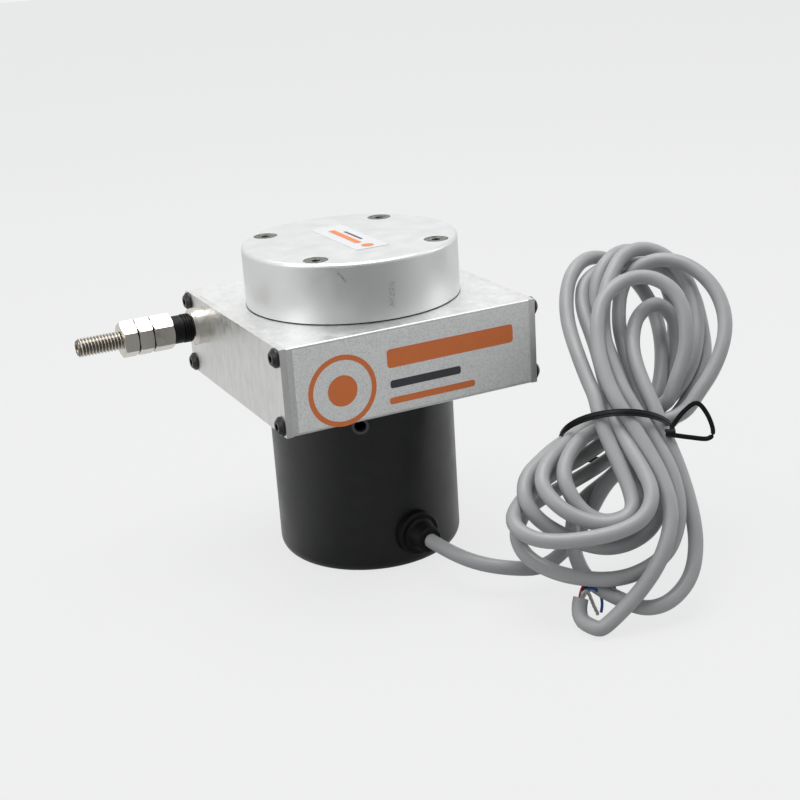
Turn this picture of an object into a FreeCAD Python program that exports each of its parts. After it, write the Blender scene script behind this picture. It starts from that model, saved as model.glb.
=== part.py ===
import FreeCAD, Part
import Sketcher
import math
import os
import re
from FreeCAD import Placement, Rotation, Vector

# Draw wire encoder
# Millimetres, +Z up. The origin is on the encoder's axis, in the flat bottom of the can.
# The wire leaves towards -X, the face label looks towards -Y, the cable leaves at the foot of the can.

os.makedirs("parts", exist_ok=True)
doc = FreeCAD.newDocument("draw_wire_encoder")

# Driving dimensions
SIZES = (
    # running and seating gaps
    ("fit_gap", 0.02), ("thread_gap", 0.02), ("run_gap", 0.3),
    # encoder can
    ("can_dia", 58), ("can_high", 55.5), ("can_wall", 2), ("can_floor", 2.5), ("can_edge", 4),
    # box made of an extruded profile and two end plates
    ("frame_long", 78), ("frame_wide", 79.5), ("frame_high", 26), ("frame_wall", 3), ("frame_edge", 0.5),
    ("corner_post", 6), ("screw_inset", 2.9), ("plate_thick", 2),
    ("rear_pitch_long", 60), ("rear_pitch_high", 10), ("rear_hole_dia", 3.3),
    # button head screws of the end plates
    ("plate_screw_dia", 3), ("plate_screw_long", 8), ("button_dia", 5.7), ("button_high", 1.7),
    ("button_key", 2), ("plate_hole_dia", 3.4),
    # spring cap on the box
    ("cap_dia", 66), ("cap_high", 18), ("cap_roof", 3), ("cap_edge", 0.9), ("chamber_dia", 49),
    ("cap_screw_circle", 55.5), ("cap_screw_dia", 4), ("cap_head_dia", 7.2), ("cap_head_high", 2.1),
    ("cap_key", 2.5),
    # labels
    ("face_label_long", 76), ("face_label_high", 24.2), ("cap_label_long", 33.8), ("cap_label_wide", 10.6),
    ("label_thick", 0.12),
    # shaft and its ball bearings
    ("shaft_dia", 8), ("shaft_foot_dia", 6), ("bearing_dia", 16), ("bearing_wide", 5), ("ring_thick", 1.3),
    ("cage_wide", 3.6), ("carrier_dia", 26), ("carrier_neck_dia", 20), ("carrier_lip", 2), ("shaft_room", 2),
    # wire drum and wire
    ("drum_dia", 47.75), ("drum_flange_dia", 52.8), ("drum_flange_thick", 1.2), ("drum_inner_dia", 41),
    ("drum_high", 13.6), ("drum_web", 3), ("drum_hub_dia", 18), ("drum_hole_dia", 8), ("drum_hole_circle", 30),
    ("drum_hole_count", 4), ("drum_gap", 2), ("wire_dia", 0.8), ("wire_level", 18.4), ("winding_pitch", 1.4),
    ("winding_turns", 6.5),
    # main spring
    ("spring_thick", 0.35), ("spring_high", 9), ("spring_turns", 4), ("arbor_dia", 13),
    # wire outlet
    ("outlet_dia", 11.6), ("outlet_long", 5), ("outlet_edge", 1.4), ("outlet_neck_dia", 6.4),
    ("outlet_neck_long", 5), ("outlet_nut_flats", 8.5), ("outlet_nut_thick", 2.4), ("guide_dia", 4.4),
    ("guide_bore_dia", 1.4),
    # end of the wire: buffer, hexagon socket, stud and nuts
    ("buffer_dia", 8.7), ("buffer_lip_dia", 9), ("buffer_long", 5.8), ("buffer_gap", 0.2), ("hex_flats", 10), ("socket_long", 6.6),
    ("nut_thick", 4.8), ("stud_dia", 6), ("stud_core", 5.35), ("stud_out", 13.5), ("stud_in", 4), ("stud_key", 2.5),
    # encoder inside the can
    ("base_thick", 4), ("base_bore_dia", 18), ("base_screw_inset", 6), ("hub_dia", 14), ("hub_high", 4.2),
    ("hub_drop", 4.7), ("disc_dia", 36), ("disc_thick", 1), ("disc_drop", 14.5), ("board_room", 3),
    ("board_thick", 1.6),
    ("board_level", 24), ("board_pillar_inset", 3), ("board_pillar_dia", 4), ("head_wide", 12), ("head_reach", 3.5), ("head_cover", 6), ("head_gap", 0.8),
    ("set_screw_dia", 3), ("access_level", 48.8), ("access_angle", -115.4), ("access_dia", 5.2),
    ("access_bore_dia", 3.6),
    # cable and its grommet
    ("gland_angle", -85), ("gland_level", 11.5), ("gland_dia", 14), ("gland_lip", 2.4), ("gland_neck_dia", 9),
    ("gland_reach", 8.2), ("gland_tip_dia", 8.2), ("gland_root_dia", 9), ("cable_dia", 4.4),
    ("tail_inside", 10), ("tie_thick", 0.8), ("tie_wide", 2.4),
)
sheet = doc.addObject("Spreadsheet::Sheet", "Sizes")
for row, (alias, value) in enumerate(SIZES, 1):
    sheet.set("A%d" % row, alias)
    sheet.set("B%d" % row, str(value))
    sheet.setAlias("B%d" % row, alias)
doc.recompute()
NAMES = {alias for alias, value in SIZES}


def size(formula):
    """The number that a formula of sheet names gives, in millimetres or degrees."""
    return float(sheet.evalExpression(str(formula)))


def linked(formula):
    """The same formula with each sheet name written as a reference to the sheet."""
    return re.sub(r"[a-z_]+", lambda m: "Sizes." + m.group(0) if m.group(0) in NAMES else m.group(0), formula)


def bind(item, prop, formula):
    item.setExpression(prop, linked(str(formula)))


# Levels that several pieces share
FRAME_FOOT = "can_high"
FRAME_TOP = "(can_high + frame_high)"
CAP_TOP = "(can_high + frame_high + cap_high)"
WIRE_LEVEL = "(can_high + wire_level)"
PLATE_FACE = "(frame_long / 2 + plate_thick)"
CAN_BORE = "(can_dia / 2 - can_wall)"
BASE_CIRCLE = "(can_dia - 2 * can_wall - 2 * base_screw_inset)"
BOARD_DIA = "(can_dia - 2 * can_wall - 2 * board_room)"
BOARD_CIRCLE = "(can_dia - 2 * can_wall - 2 * board_room - 2 * board_pillar_inset)"
LOWER_BEARING = "can_high"
UPPER_BEARING = "(can_high + frame_high - frame_wall - 1)"
DRUM_FOOT = "(can_high + frame_wall + carrier_lip + drum_gap)"
BASE_FOOT = "(can_high - base_thick)"
HUB_FOOT = "(can_high - base_thick - hub_drop)"
DISC_TOP = "(can_high - base_thick - disc_drop)"
BOARD_TOP = "(board_level + board_thick)"
SOCKET_FOOT = "(outlet_long + buffer_gap + buffer_long)"
NUT_FOOT = "(outlet_long + buffer_gap + buffer_long + socket_long)"
STUD_TIP = "(outlet_long + buffer_gap + buffer_long + socket_long + 2 * nut_thick + stud_out)"


# Sketches
def sketch_on(body, name, role, lift="0"):
    """An empty sketch on one of the body's own origin planes, moved along the plane's normal."""
    plane = [item for item in body.Origin.OriginFeatures if item.Role == role][0]
    sketch = body.newObject("Sketcher::SketchObject", name)
    sketch.AttachmentSupport = [(plane, "")]
    sketch.MapMode = "FlatFace"
    if lift != "0":
        bind(sketch, "AttachmentOffset.Base.z", lift)
    doc.recompute()
    return sketch


def place_point(sketch, geometry, point, across, along):
    """Dimensions from the sketch's origin to one point."""
    for kind, axis, formula in (("DistanceX", -2, across), ("DistanceY", -1, along)):
        if formula == "0":
            sketch.addConstraint(Sketcher.Constraint("PointOnObject", geometry, point, axis))
        else:
            mark = sketch.addConstraint(Sketcher.Constraint(kind, -1, 1, geometry, point, size(formula)))
            bind(sketch, "Constraints[%d]" % mark, formula)


def outline(sketch, corners):
    """A closed outline through the corners, each dimensioned from the sheet."""
    first = sketch.GeometryCount
    spots = [Vector(size(across), size(along), 0) for across, along in corners]
    count = len(spots)
    for index in range(count):
        sketch.addGeometry(Part.LineSegment(spots[index], spots[(index + 1) % count]), False)
    for index in range(count):
        following = first + (index + 1) % count
        sketch.addConstraint(Sketcher.Constraint("Coincident", first + index, 2, following, 1))
    for index, (across, along) in enumerate(corners):
        place_point(sketch, first + index, 1, across, along)
    doc.recompute()


def rings(sketch, centres, diameter):
    """Circles of one diameter on the given centres."""
    for across, along in centres:
        spot = Vector(size(across), size(along), 0)
        index = sketch.addGeometry(Part.Circle(spot, Vector(0, 0, 1), size(diameter) / 2), False)
        mark = sketch.addConstraint(Sketcher.Constraint("Diameter", index, size(diameter)))
        bind(sketch, "Constraints[%d]" % mark, diameter)
        place_point(sketch, index, 3, across, along)
    doc.recompute()


def hexagon(sketch, flats):
    """A hexagon about the sketch's origin with one corner on each side of the across axis."""
    far = "%s / sqrt(3)" % flats
    half = "%s / sqrt(12)" % flats
    side = "%s / 2" % flats
    outline(sketch, [(far, "0"), (half, side), ("-" + half, side), ("-" + far, "0"),
                     ("-" + half, "-" + side), (half, "-" + side)])


# Features
def new_body(label):
    body = doc.addObject("PartDesign::Body", label)
    body.Label = label
    return body


def pad(body, sketch, length, both_ways=False):
    feature = body.newObject("PartDesign::Pad", sketch.Name + "_pad")
    feature.Profile = sketch
    bind(feature, "Length", length)
    feature.SideType = "Symmetric" if both_ways else "One side"
    doc.recompute()
    return feature


def cut_through(body, sketch):
    """Cut the sketch through the whole body, both ways from the sketch's plane."""
    before = body.Shape.Volume
    feature = body.newObject("PartDesign::Pocket", sketch.Name + "_cut")
    feature.Profile = sketch
    feature.SideType = "Symmetric"
    feature.Type = "ThroughAll"
    doc.recompute()
    report_cut(body, feature, before)
    return feature


def cut_down(body, sketch, depth):
    """Cut from the sketch's plane against its normal."""
    before = body.Shape.Volume
    feature = body.newObject("PartDesign::Pocket", sketch.Name + "_cut")
    feature.Profile = sketch
    feature.Type = "Length"
    bind(feature, "Length", depth)
    doc.recompute()
    report_cut(body, feature, before)
    return feature


def report_cut(body, feature, before):
    if body.Shape.Volume >= before - 1e-6:
        raise RuntimeError("%s takes nothing off %s" % (feature.Name, body.Label))


def turned(label, profile):
    """A body turned about +Z from a profile of (radius, height) corners."""
    body = new_body(label)
    sketch = sketch_on(body, label + "_profile", "XZ_Plane")
    outline(sketch, profile)
    turn = body.newObject("PartDesign::Revolution", label + "_turn")
    turn.Profile = sketch
    turn.ReferenceAxis = (sketch, ["V_Axis"])
    turn.Angle = 360
    doc.recompute()
    return body


def rim_edges(shape, radius, level):
    """Names of the round edges with this radius at this height."""
    names = []
    for index, edge in enumerate(shape.Edges, 1):
        round_edge = isinstance(edge.Curve, Part.Circle)
        if round_edge and abs(edge.Curve.Radius - radius) < 1e-4 and abs(edge.Curve.Center.z - level) < 1e-4:
            names.append("Edge%d" % index)
    return names


def soften(body, kind, names, amount):
    """A fillet or chamfer on named edges of the body as it stands."""
    base = body.Tip
    feature = body.newObject("PartDesign::" + kind, body.Name + "_" + kind.lower())
    feature.Base = (base, names)
    bind(feature, "Radius" if kind == "Fillet" else "Size", amount)
    doc.recompute()
    return feature


def round_rim(body, radius, level, amount):
    soften(body, "Fillet", rim_edges(body.Tip.Shape, size(radius), size(level)), amount)


def bevel_rim(body, radius, level, amount):
    soften(body, "Chamfer", rim_edges(body.Tip.Shape, size(radius), size(level)), amount)


# Places
def on_wire(item, reach="0"):
    """Local +Z points out of the box along the wire, local Z = 0 lies in the plate's outer face."""
    item.Placement = Placement(Vector(0, 0, 0), Rotation(Vector(0, 1, 0), -90))
    bind(item, "Placement.Base.x", "-%s - (%s)" % (PLATE_FACE, reach))
    bind(item, "Placement.Base.y", "drum_dia / 2")
    bind(item, "Placement.Base.z", WIRE_LEVEL)


def on_can(item, angle, level):
    """Local +Z points outwards from the can's axis at an angle and a height."""
    turn = Rotation(Vector(0, 0, 1), size(angle)).multiply(Rotation(Vector(0, 1, 0), 90))
    item.Placement = Placement(Vector(0, 0, size(level)), turn)


def copies(label, model, places):
    """One node of separate equal pieces at several places."""
    item = doc.addObject("Part::Feature", label)
    item.Label = label
    shapes = []
    for place in places:
        shape = model.Shape.copy()
        shape.Placement = place.multiply(model.Shape.Placement)
        shapes.append(shape)
    item.Shape = Part.makeCompound(shapes)
    return item


def cut_by(label, base, tool):
    """The base piece with the tool piece cut out of it."""
    item = doc.addObject("Part::Cut", label)
    item.Label = label
    item.Base = base
    item.Tool = tool
    doc.recompute()
    return item


def rod(name, diameter, length):
    item = doc.addObject("Part::Cylinder", name)
    bind(item, "Radius", "(%s) / 2" % diameter)
    bind(item, "Height", length)
    return item


def around(count, circle, first=0.0):
    """Places on a circle about +Z, each turned to face outwards."""
    radius = size(circle) / 2
    places = []
    for index in range(count):
        angle = first + 360.0 * index / count
        spot = Vector(radius * math.cos(math.radians(angle)), radius * math.sin(math.radians(angle)), 0)
        places.append(Placement(spot, Rotation(Vector(0, 0, 1), angle)))
    return places


nodes = {}


def keep(item):
    nodes[item.Label] = item


# Box profile: hollow section along X with a screw channel in each corner post
FAR_Y = "(frame_wide / 2)"
SCREW_Y = "(frame_wide / 2 - screw_inset)"
SCREW_LOW = "(can_high + screw_inset)"
SCREW_HIGH = "(can_high + frame_high - screw_inset)"
CORNER_SCREWS = [(SCREW_Y, SCREW_LOW), (SCREW_Y, SCREW_HIGH),
                 ("-" + SCREW_Y, SCREW_LOW), ("-" + SCREW_Y, SCREW_HIGH)]
WALL_Y = "(frame_wide / 2 - frame_wall)"
POST_Y = "(frame_wide / 2 - corner_post)"
INSIDE_LOW = "(can_high + frame_wall)"
INSIDE_HIGH = "(can_high + frame_high - frame_wall)"
POST_LOW = "(can_high + corner_post)"
POST_HIGH = "(can_high + frame_high - corner_post)"


def box_outline(sketch):
    outline(sketch, [("-" + FAR_Y, FRAME_FOOT), (FAR_Y, FRAME_FOOT), (FAR_Y, FRAME_TOP), ("-" + FAR_Y, FRAME_TOP)])


frame = new_body("frame_profile")
section = sketch_on(frame, "section", "YZ_Plane")
box_outline(section)
pad(frame, section, "frame_long", True)
long_edges = []
for index, edge in enumerate(frame.Tip.Shape.Edges, 1):
    if abs(edge.tangentAt(edge.FirstParameter).x) > 0.99:
        long_edges.append("Edge%d" % index)
soften(frame, "Fillet", long_edges, "frame_edge")
hollow = sketch_on(frame, "hollow", "YZ_Plane")
outline(hollow, [
    ("-" + POST_Y, INSIDE_LOW), (POST_Y, INSIDE_LOW), (POST_Y, POST_LOW), (WALL_Y, POST_LOW),
    (WALL_Y, POST_HIGH), (POST_Y, POST_HIGH), (POST_Y, INSIDE_HIGH), ("-" + POST_Y, INSIDE_HIGH),
    ("-" + POST_Y, POST_HIGH), ("-" + WALL_Y, POST_HIGH), ("-" + WALL_Y, POST_LOW), ("-" + POST_Y, POST_LOW)])
cut_through(frame, hollow)
channels = sketch_on(frame, "channels", "YZ_Plane")
rings(channels, CORNER_SCREWS, "plate_screw_dia + 2 * thread_gap")
cut_through(frame, channels)
shaft_opening = sketch_on(frame, "shaft_opening", "XY_Plane")
rings(shaft_opening, [("0", "0")], "carrier_neck_dia + 2 * fit_gap")
cut_through(frame, shaft_opening)
cap_taps = sketch_on(frame, "cap_taps", "XY_Plane", FRAME_TOP)
CAP_SPOT = "(cap_screw_circle / sqrt(8))"
CAP_SPOTS = [(CAP_SPOT, CAP_SPOT), ("-" + CAP_SPOT, CAP_SPOT),
             ("-" + CAP_SPOT, "-" + CAP_SPOT), (CAP_SPOT, "-" + CAP_SPOT)]
rings(cap_taps, CAP_SPOTS, "cap_screw_dia + 2 * thread_gap")
cut_down(frame, cap_taps, "frame_wall + 0.2")
BASE_SPOTS = [("%s / 2 * cos(%d)" % (BASE_CIRCLE, angle), "%s / 2 * sin(%d)" % (BASE_CIRCLE, angle))
              for angle in (30, 150)] + [("0", "-%s / 2" % BASE_CIRCLE)]
base_taps = sketch_on(frame, "base_taps", "XY_Plane", INSIDE_LOW)
rings(base_taps, BASE_SPOTS, "plate_screw_dia + 2 * thread_gap")
cut_down(frame, base_taps, "frame_wall + 0.2")
rear_taps = sketch_on(frame, "rear_taps", "XZ_Plane", "-" + WALL_Y)
REAR_LOW = "(can_high + frame_high / 2 - rear_pitch_high / 2)"
REAR_HIGH = "(can_high + frame_high / 2 + rear_pitch_high / 2)"
rings(rear_taps, [("rear_pitch_long / 2", REAR_LOW), ("rear_pitch_long / 2", REAR_HIGH),
                  ("-rear_pitch_long / 2", REAR_LOW), ("-rear_pitch_long / 2", REAR_HIGH)], "rear_hole_dia")
rear_cut = frame.newObject("PartDesign::Pocket", "rear_cut")
before_rear = frame.Shape.Volume
rear_cut.Profile = rear_taps
rear_cut.Type = "Length"
rear_cut.Reversed = False
bind(rear_cut, "Length", "frame_wall + 0.5")
doc.recompute()
report_cut(frame, rear_cut, before_rear)
keep(frame)


# End plates of sawn sheet
def end_plate(label, side):
    body = new_body(label)
    lift = "frame_long / 2" if side > 0 else "-%s" % PLATE_FACE
    sheet_outline = sketch_on(body, label + "_outline", "YZ_Plane", lift)
    box_outline(sheet_outline)
    pad(body, sheet_outline, "plate_thick")
    holes = sketch_on(body, label + "_holes", "YZ_Plane", lift)
    rings(holes, CORNER_SCREWS, "plate_hole_dia")
    cut_through(body, holes)
    if side < 0:
        mouth = sketch_on(body, label + "_mouth", "YZ_Plane", lift)
        rings(mouth, [("drum_dia / 2", WIRE_LEVEL)], "outlet_neck_dia + 2 * fit_gap")
        cut_through(body, mouth)
    keep(body)
    return body


end_plate("end_plate_left", -1)
end_plate("end_plate_right", 1)

# Button head screws with a hexagon socket
button = turned("button_screw", [
    ("0", "-plate_screw_long"), ("plate_screw_dia / 2", "-plate_screw_long"), ("plate_screw_dia / 2", "0"),
    ("button_dia / 2", "0"), ("button_dia / 2", "button_high"), ("0", "button_high")])
bevel_rim(button, "button_dia / 2", "button_high", "button_high * 0.6")
button_socket = sketch_on(button, "button_socket", "XY_Plane", "button_high")
hexagon(button_socket, "button_key")
cut_down(button, button_socket, "button_high * 0.65")


def plate_screws(label, side):
    places = []
    for across, level in CORNER_SCREWS:
        spot = Vector(side * size(PLATE_FACE), size(across), size(level))
        places.append(Placement(spot, Rotation(Vector(0, 1, 0), 90 * side)))
    keep(copies(label, button, places))


plate_screws("end_plate_screws_left", -1)
plate_screws("end_plate_screws_right", 1)

# Spring cap: turned pot, open to the box, with four counterbored holes in its thick wall
CAP_ROOF = "(can_high + frame_high + cap_high - cap_roof)"
cap = turned("spring_cap", [
    ("chamber_dia / 2", FRAME_TOP), ("cap_dia / 2", FRAME_TOP), ("cap_dia / 2", CAP_TOP), ("0", CAP_TOP),
    ("0", CAP_ROOF), ("chamber_dia / 2", CAP_ROOF)])
bevel_rim(cap, "cap_dia / 2", CAP_TOP, "cap_edge")
cap_holes = sketch_on(cap, "cap_holes", "XY_Plane")
rings(cap_holes, CAP_SPOTS, "cap_screw_dia + 0.2")
cut_through(cap, cap_holes)
head_seats = sketch_on(cap, "head_seats", "XY_Plane", CAP_TOP)
rings(head_seats, CAP_SPOTS, "cap_head_dia + 0.2")
cut_down(cap, head_seats, "cap_head_high + 0.15")
keep(cap)

cap_screw = turned("cap_screw", [
    ("0", "-(cap_high + frame_wall - 0.15)"), ("cap_screw_dia / 2", "-(cap_high + frame_wall - 0.15)"),
    ("cap_screw_dia / 2", "-cap_head_high"), ("cap_head_dia / 2", "-cap_head_high"), ("cap_head_dia / 2", "0"),
    ("0", "0")])
cap_socket = sketch_on(cap_screw, "cap_socket", "XY_Plane")
hexagon(cap_socket, "cap_key")
cut_down(cap_screw, cap_socket, "cap_head_high * 0.7")
cap_places = []
for across, along in CAP_SPOTS:
    cap_places.append(Placement(Vector(size(across), size(along), size(CAP_TOP) - 0.15), Rotation()))
keep(copies("cap_screws", cap_screw, cap_places))


# Labels
def label_plate(label, long_size, wide_size, high_size, x, y, z):
    item = doc.addObject("Part::Box", label)
    item.Label = label
    bind(item, "Length", long_size)
    bind(item, "Width", wide_size)
    bind(item, "Height", high_size)
    bind(item, "Placement.Base.x", x)
    bind(item, "Placement.Base.y", y)
    bind(item, "Placement.Base.z", z)
    keep(item)


label_plate("face_label", "face_label_long", "label_thick", "face_label_high",
            "frame_long / 2 - face_label_long - 0.2", "-%s - label_thick" % FAR_Y,
            "can_high + (frame_high - face_label_high) / 2")
label_plate("cap_label", "cap_label_wide", "cap_label_long", "label_thick",
            "-cap_label_wide / 2", "-cap_label_long / 2", CAP_TOP)

# Bearing carriers: one in the floor and one in the roof of the box, each with its lip above the wall
NECK = "carrier_neck_dia / 2"
SEAT = "bearing_dia / 2 + fit_gap"
SHAFT_HOLE = "shaft_dia / 2 + shaft_room"
LOWER_LIP = "(can_high + frame_wall + carrier_lip + 0.7)"
UPPER_LIP = "(can_high + frame_high + carrier_lip)"
keep(turned("lower_bearing_carrier", [
    (SHAFT_HOLE, LOWER_BEARING + " + bearing_wide"), (SEAT, LOWER_BEARING + " + bearing_wide"),
    (SEAT, FRAME_FOOT), (NECK, FRAME_FOOT), (NECK, INSIDE_LOW), ("carrier_dia / 2", INSIDE_LOW),
    ("carrier_dia / 2", LOWER_LIP), (SHAFT_HOLE, LOWER_LIP)]))
keep(turned("upper_bearing_carrier", [
    (SEAT, UPPER_BEARING), (NECK, UPPER_BEARING), (NECK, FRAME_TOP), ("carrier_dia / 2", FRAME_TOP),
    ("carrier_dia / 2", UPPER_LIP), (SHAFT_HOLE, UPPER_LIP), (SHAFT_HOLE, UPPER_BEARING + " + bearing_wide"),
    (SEAT, UPPER_BEARING + " + bearing_wide")]))

# Ball bearings of the shaft: two rings each, and between them the row of balls as one turned ring
RING_IN = "shaft_dia / 2 + ring_thick"
RING_OUT = "bearing_dia / 2 - ring_thick"
BALLS_FOOT = "(bearing_wide - cage_wide) / 2"
BALLS_TOP = "(bearing_wide + cage_wide) / 2"
outer_ring = turned("outer_ring", [
    (RING_OUT, "0"), ("bearing_dia / 2", "0"), ("bearing_dia / 2", "bearing_wide"), (RING_OUT, "bearing_wide")])
inner_ring = turned("inner_ring", [
    ("shaft_dia / 2 + fit_gap", "0"), (RING_IN, "0"), (RING_IN, "bearing_wide"),
    ("shaft_dia / 2 + fit_gap", "bearing_wide")])
ball_row = turned("ball_row", [
    (RING_IN + " + fit_gap", BALLS_FOOT), (RING_OUT + " - run_gap", BALLS_FOOT),
    (RING_OUT + " - run_gap", BALLS_TOP), (RING_IN + " + fit_gap", BALLS_TOP)])
bearing_places = [Placement(Vector(0, 0, size(level)), Rotation()) for level in (LOWER_BEARING, UPPER_BEARING)]
keep(copies("bearing_outer_rings", outer_ring, bearing_places))
keep(copies("bearing_inner_rings", inner_ring, bearing_places))
keep(copies("bearing_ball_rows", ball_row, bearing_places))

# Wire drum: grooved rim between two flanges, thin web with a ring of holes, long hub
DRUM_TOP = "(%s + drum_high)" % DRUM_FOOT
GROOVE_LOW = "(%s + drum_flange_thick)" % DRUM_FOOT
GROOVE_HIGH = "(%s + drum_high - drum_flange_thick)" % DRUM_FOOT
BED = "(drum_dia / 2 - wire_dia / 2 - 0.1)"
WEB_LOW = "(%s + drum_high / 2 - drum_web / 2)" % DRUM_FOOT
WEB_HIGH = "(%s + drum_high / 2 + drum_web / 2)" % DRUM_FOOT
HUB_LOW = "(%s - 0.8)" % DRUM_FOOT
HUB_HIGH = "(%s + drum_high + 0.8)" % DRUM_FOOT
SHAFT_BORE = "shaft_dia / 2 + fit_gap"
drum = turned("wire_drum", [
    (SHAFT_BORE, HUB_LOW), ("drum_hub_dia / 2", HUB_LOW), ("drum_hub_dia / 2", WEB_LOW),
    ("drum_inner_dia / 2", WEB_LOW), ("drum_inner_dia / 2", DRUM_FOOT), ("drum_flange_dia / 2", DRUM_FOOT),
    ("drum_flange_dia / 2", GROOVE_LOW), (BED, GROOVE_LOW), (BED, GROOVE_HIGH),
    ("drum_flange_dia / 2", GROOVE_HIGH), ("drum_flange_dia / 2", DRUM_TOP), ("drum_inner_dia / 2", DRUM_TOP),
    ("drum_inner_dia / 2", WEB_HIGH), ("drum_hub_dia / 2", WEB_HIGH), ("drum_hub_dia / 2", HUB_HIGH),
    (SHAFT_BORE, HUB_HIGH)])
drum_hole = sketch_on(drum, "drum_hole", "XY_Plane", DRUM_FOOT)
rings(drum_hole, [("drum_hole_circle / 2", "0")], "drum_hole_dia")
hole_cut = cut_through(drum, drum_hole)
hole_ring = drum.newObject("PartDesign::PolarPattern", "drum_hole_ring")
hole_ring.Originals = [hole_cut]
hole_ring.Axis = (drum_hole, ["N_Axis"])
hole_ring.Angle = 360
bind(hole_ring, "Occurrences", "drum_hole_count")
drum.Tip = hole_ring
doc.recompute()
keep(drum)

# Shaft through both bearings, thinner where it enters the encoder's hollow hub
SHAFT_TOP = "(can_high + frame_high + cap_high - cap_roof - 2)"
SHAFT_STEP = BASE_FOOT + " + 0.6"
SHAFT_FOOT = DISC_TOP + " + 1.6"
shaft = turned("drum_shaft", [
    ("0", SHAFT_FOOT), ("shaft_foot_dia / 2", SHAFT_FOOT), ("shaft_foot_dia / 2", SHAFT_STEP),
    ("shaft_dia / 2", SHAFT_STEP), ("shaft_dia / 2", SHAFT_TOP), ("0", SHAFT_TOP)])
keep(shaft)
ARBOR_FOOT = FRAME_TOP + " + carrier_lip + 1"
keep(turned("spring_arbor", [
    (SHAFT_BORE, ARBOR_FOOT), ("arbor_dia / 2", ARBOR_FOOT), ("arbor_dia / 2", SHAFT_TOP + " - 0.5"),
    (SHAFT_BORE, SHAFT_TOP + " - 0.5")]))

# Main spring: flat strip wound in half circles from the arbor out to the chamber wall
half_turns = int(size("spring_turns") * 2)
strip = size("spring_thick")
start_radius = size("arbor_dia / 2") + strip / 2 + size("run_gap")
end_radius = size("chamber_dia / 2") - strip / 2 - size("fit_gap")
growth = (end_radius - start_radius) / half_turns


def spiral_side(shift):
    """Half circles, each centred so that it carries on from the one before."""
    edges = []
    centre = 0.0
    direction = 1
    for step in range(half_turns):
        radius = start_radius + growth * step + shift
        middle = Vector(centre, direction * radius, 0)
        edges.append(Part.Arc(Vector(centre + direction * radius, 0, 0), middle,
                              Vector(centre - direction * radius, 0, 0)).toShape())
        centre += direction * growth
        direction = -direction
    return edges


inner_side = spiral_side(-strip / 2)
outer_side = spiral_side(strip / 2)
start_cap = Part.LineSegment(inner_side[0].valueAt(inner_side[0].FirstParameter),
                             outer_side[0].valueAt(outer_side[0].FirstParameter)).toShape()
end_cap = Part.LineSegment(inner_side[-1].valueAt(inner_side[-1].LastParameter),
                           outer_side[-1].valueAt(outer_side[-1].LastParameter)).toShape()
strip_wire = Part.Wire(Part.__sortEdges__(inner_side + [end_cap] + outer_side + [start_cap]))
main_spring = doc.addObject("Part::Feature", "main_spring")
main_spring.Label = "main_spring"
main_spring.Shape = Part.Face(strip_wire).extrude(Vector(0, 0, size("spring_high")))
main_spring.Placement = Placement(Vector(0, 0, size(ARBOR_FOOT + " + 0.3")), Rotation())
keep(main_spring)

# Wire wound on the drum: the one layer of turns that lies in the groove, side by side
WOUND_TOP = WIRE_LEVEL + " - wire_dia / 2 - 0.1"
WOUND_FOOT = WIRE_LEVEL + " - wire_dia / 2 - 0.1 - winding_turns * winding_pitch"
WOUND_IN = "drum_dia / 2 - wire_dia / 2"
WOUND_OUT = "drum_dia / 2 + wire_dia / 2"
keep(turned("wound_wire", [
    (WOUND_IN, WOUND_FOOT), (WOUND_OUT, WOUND_FOOT), (WOUND_OUT, WOUND_TOP), (WOUND_IN, WOUND_TOP)]))

# Wire outlet: nickelled bush through the plate, nut inside, hard eyelet in its bore
outlet = turned("wire_outlet", [
    ("guide_dia / 2 + fit_gap", "-outlet_neck_long"), ("outlet_neck_dia / 2", "-outlet_neck_long"),
    ("outlet_neck_dia / 2", "0"), ("outlet_dia / 2", "0"), ("outlet_dia / 2", "outlet_long - outlet_edge"),
    ("outlet_dia / 2 - outlet_edge * 0.29", "outlet_long - outlet_edge * 0.29"),
    ("outlet_dia / 2 - outlet_edge", "outlet_long"), ("guide_dia / 2 + fit_gap", "outlet_long")])
on_wire(outlet)
keep(outlet)
guide = turned("wire_guide", [
    ("guide_bore_dia / 2", "-outlet_neck_long"), ("guide_dia / 2", "-outlet_neck_long"),
    ("guide_dia / 2", "outlet_long - 0.2"), ("guide_bore_dia / 2 + 0.6", "outlet_long - 0.2"),
    ("guide_bore_dia / 2", "outlet_long - 1")])
on_wire(guide)
keep(guide)


def hex_piece(label, flats, length, bore, chamfered=True):
    """A hexagon bar with a round bore, its corners turned off at both ends like a nut's."""
    body = new_body(label)
    base = sketch_on(body, label + "_base", "XY_Plane")
    hexagon(base, flats)
    pad(body, base, length)
    if chamfered:
        corner = "%s / sqrt(3)" % flats
        flat = "(%s / 2 * 0.97)" % flats
        drop = "((%s / sqrt(3) - %s / 2 * 0.97) * 0.58)" % (flats, flats)
        turned_off = sketch_on(body, label + "_corners", "XZ_Plane")
        outline(turned_off, [(flat, "0"), (corner + " + 0.5", "0"), (corner + " + 0.5", drop + " + 0.29"),
                             (corner, drop)])
        outline(turned_off, [(flat, length), (corner, "%s - %s" % (length, drop)),
                             (corner + " + 0.5", "%s - %s - 0.29" % (length, drop)), (corner + " + 0.5", length)])
        before = body.Shape.Volume
        groove = body.newObject("PartDesign::Groove", label + "_turned")
        groove.Profile = turned_off
        groove.ReferenceAxis = (turned_off, ["V_Axis"])
        groove.Angle = 360
        doc.recompute()
        report_cut(body, groove, before)
    hole = sketch_on(body, label + "_bore", "XY_Plane")
    rings(hole, [("0", "0")], bore)
    cut_through(body, hole)
    return body


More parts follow.
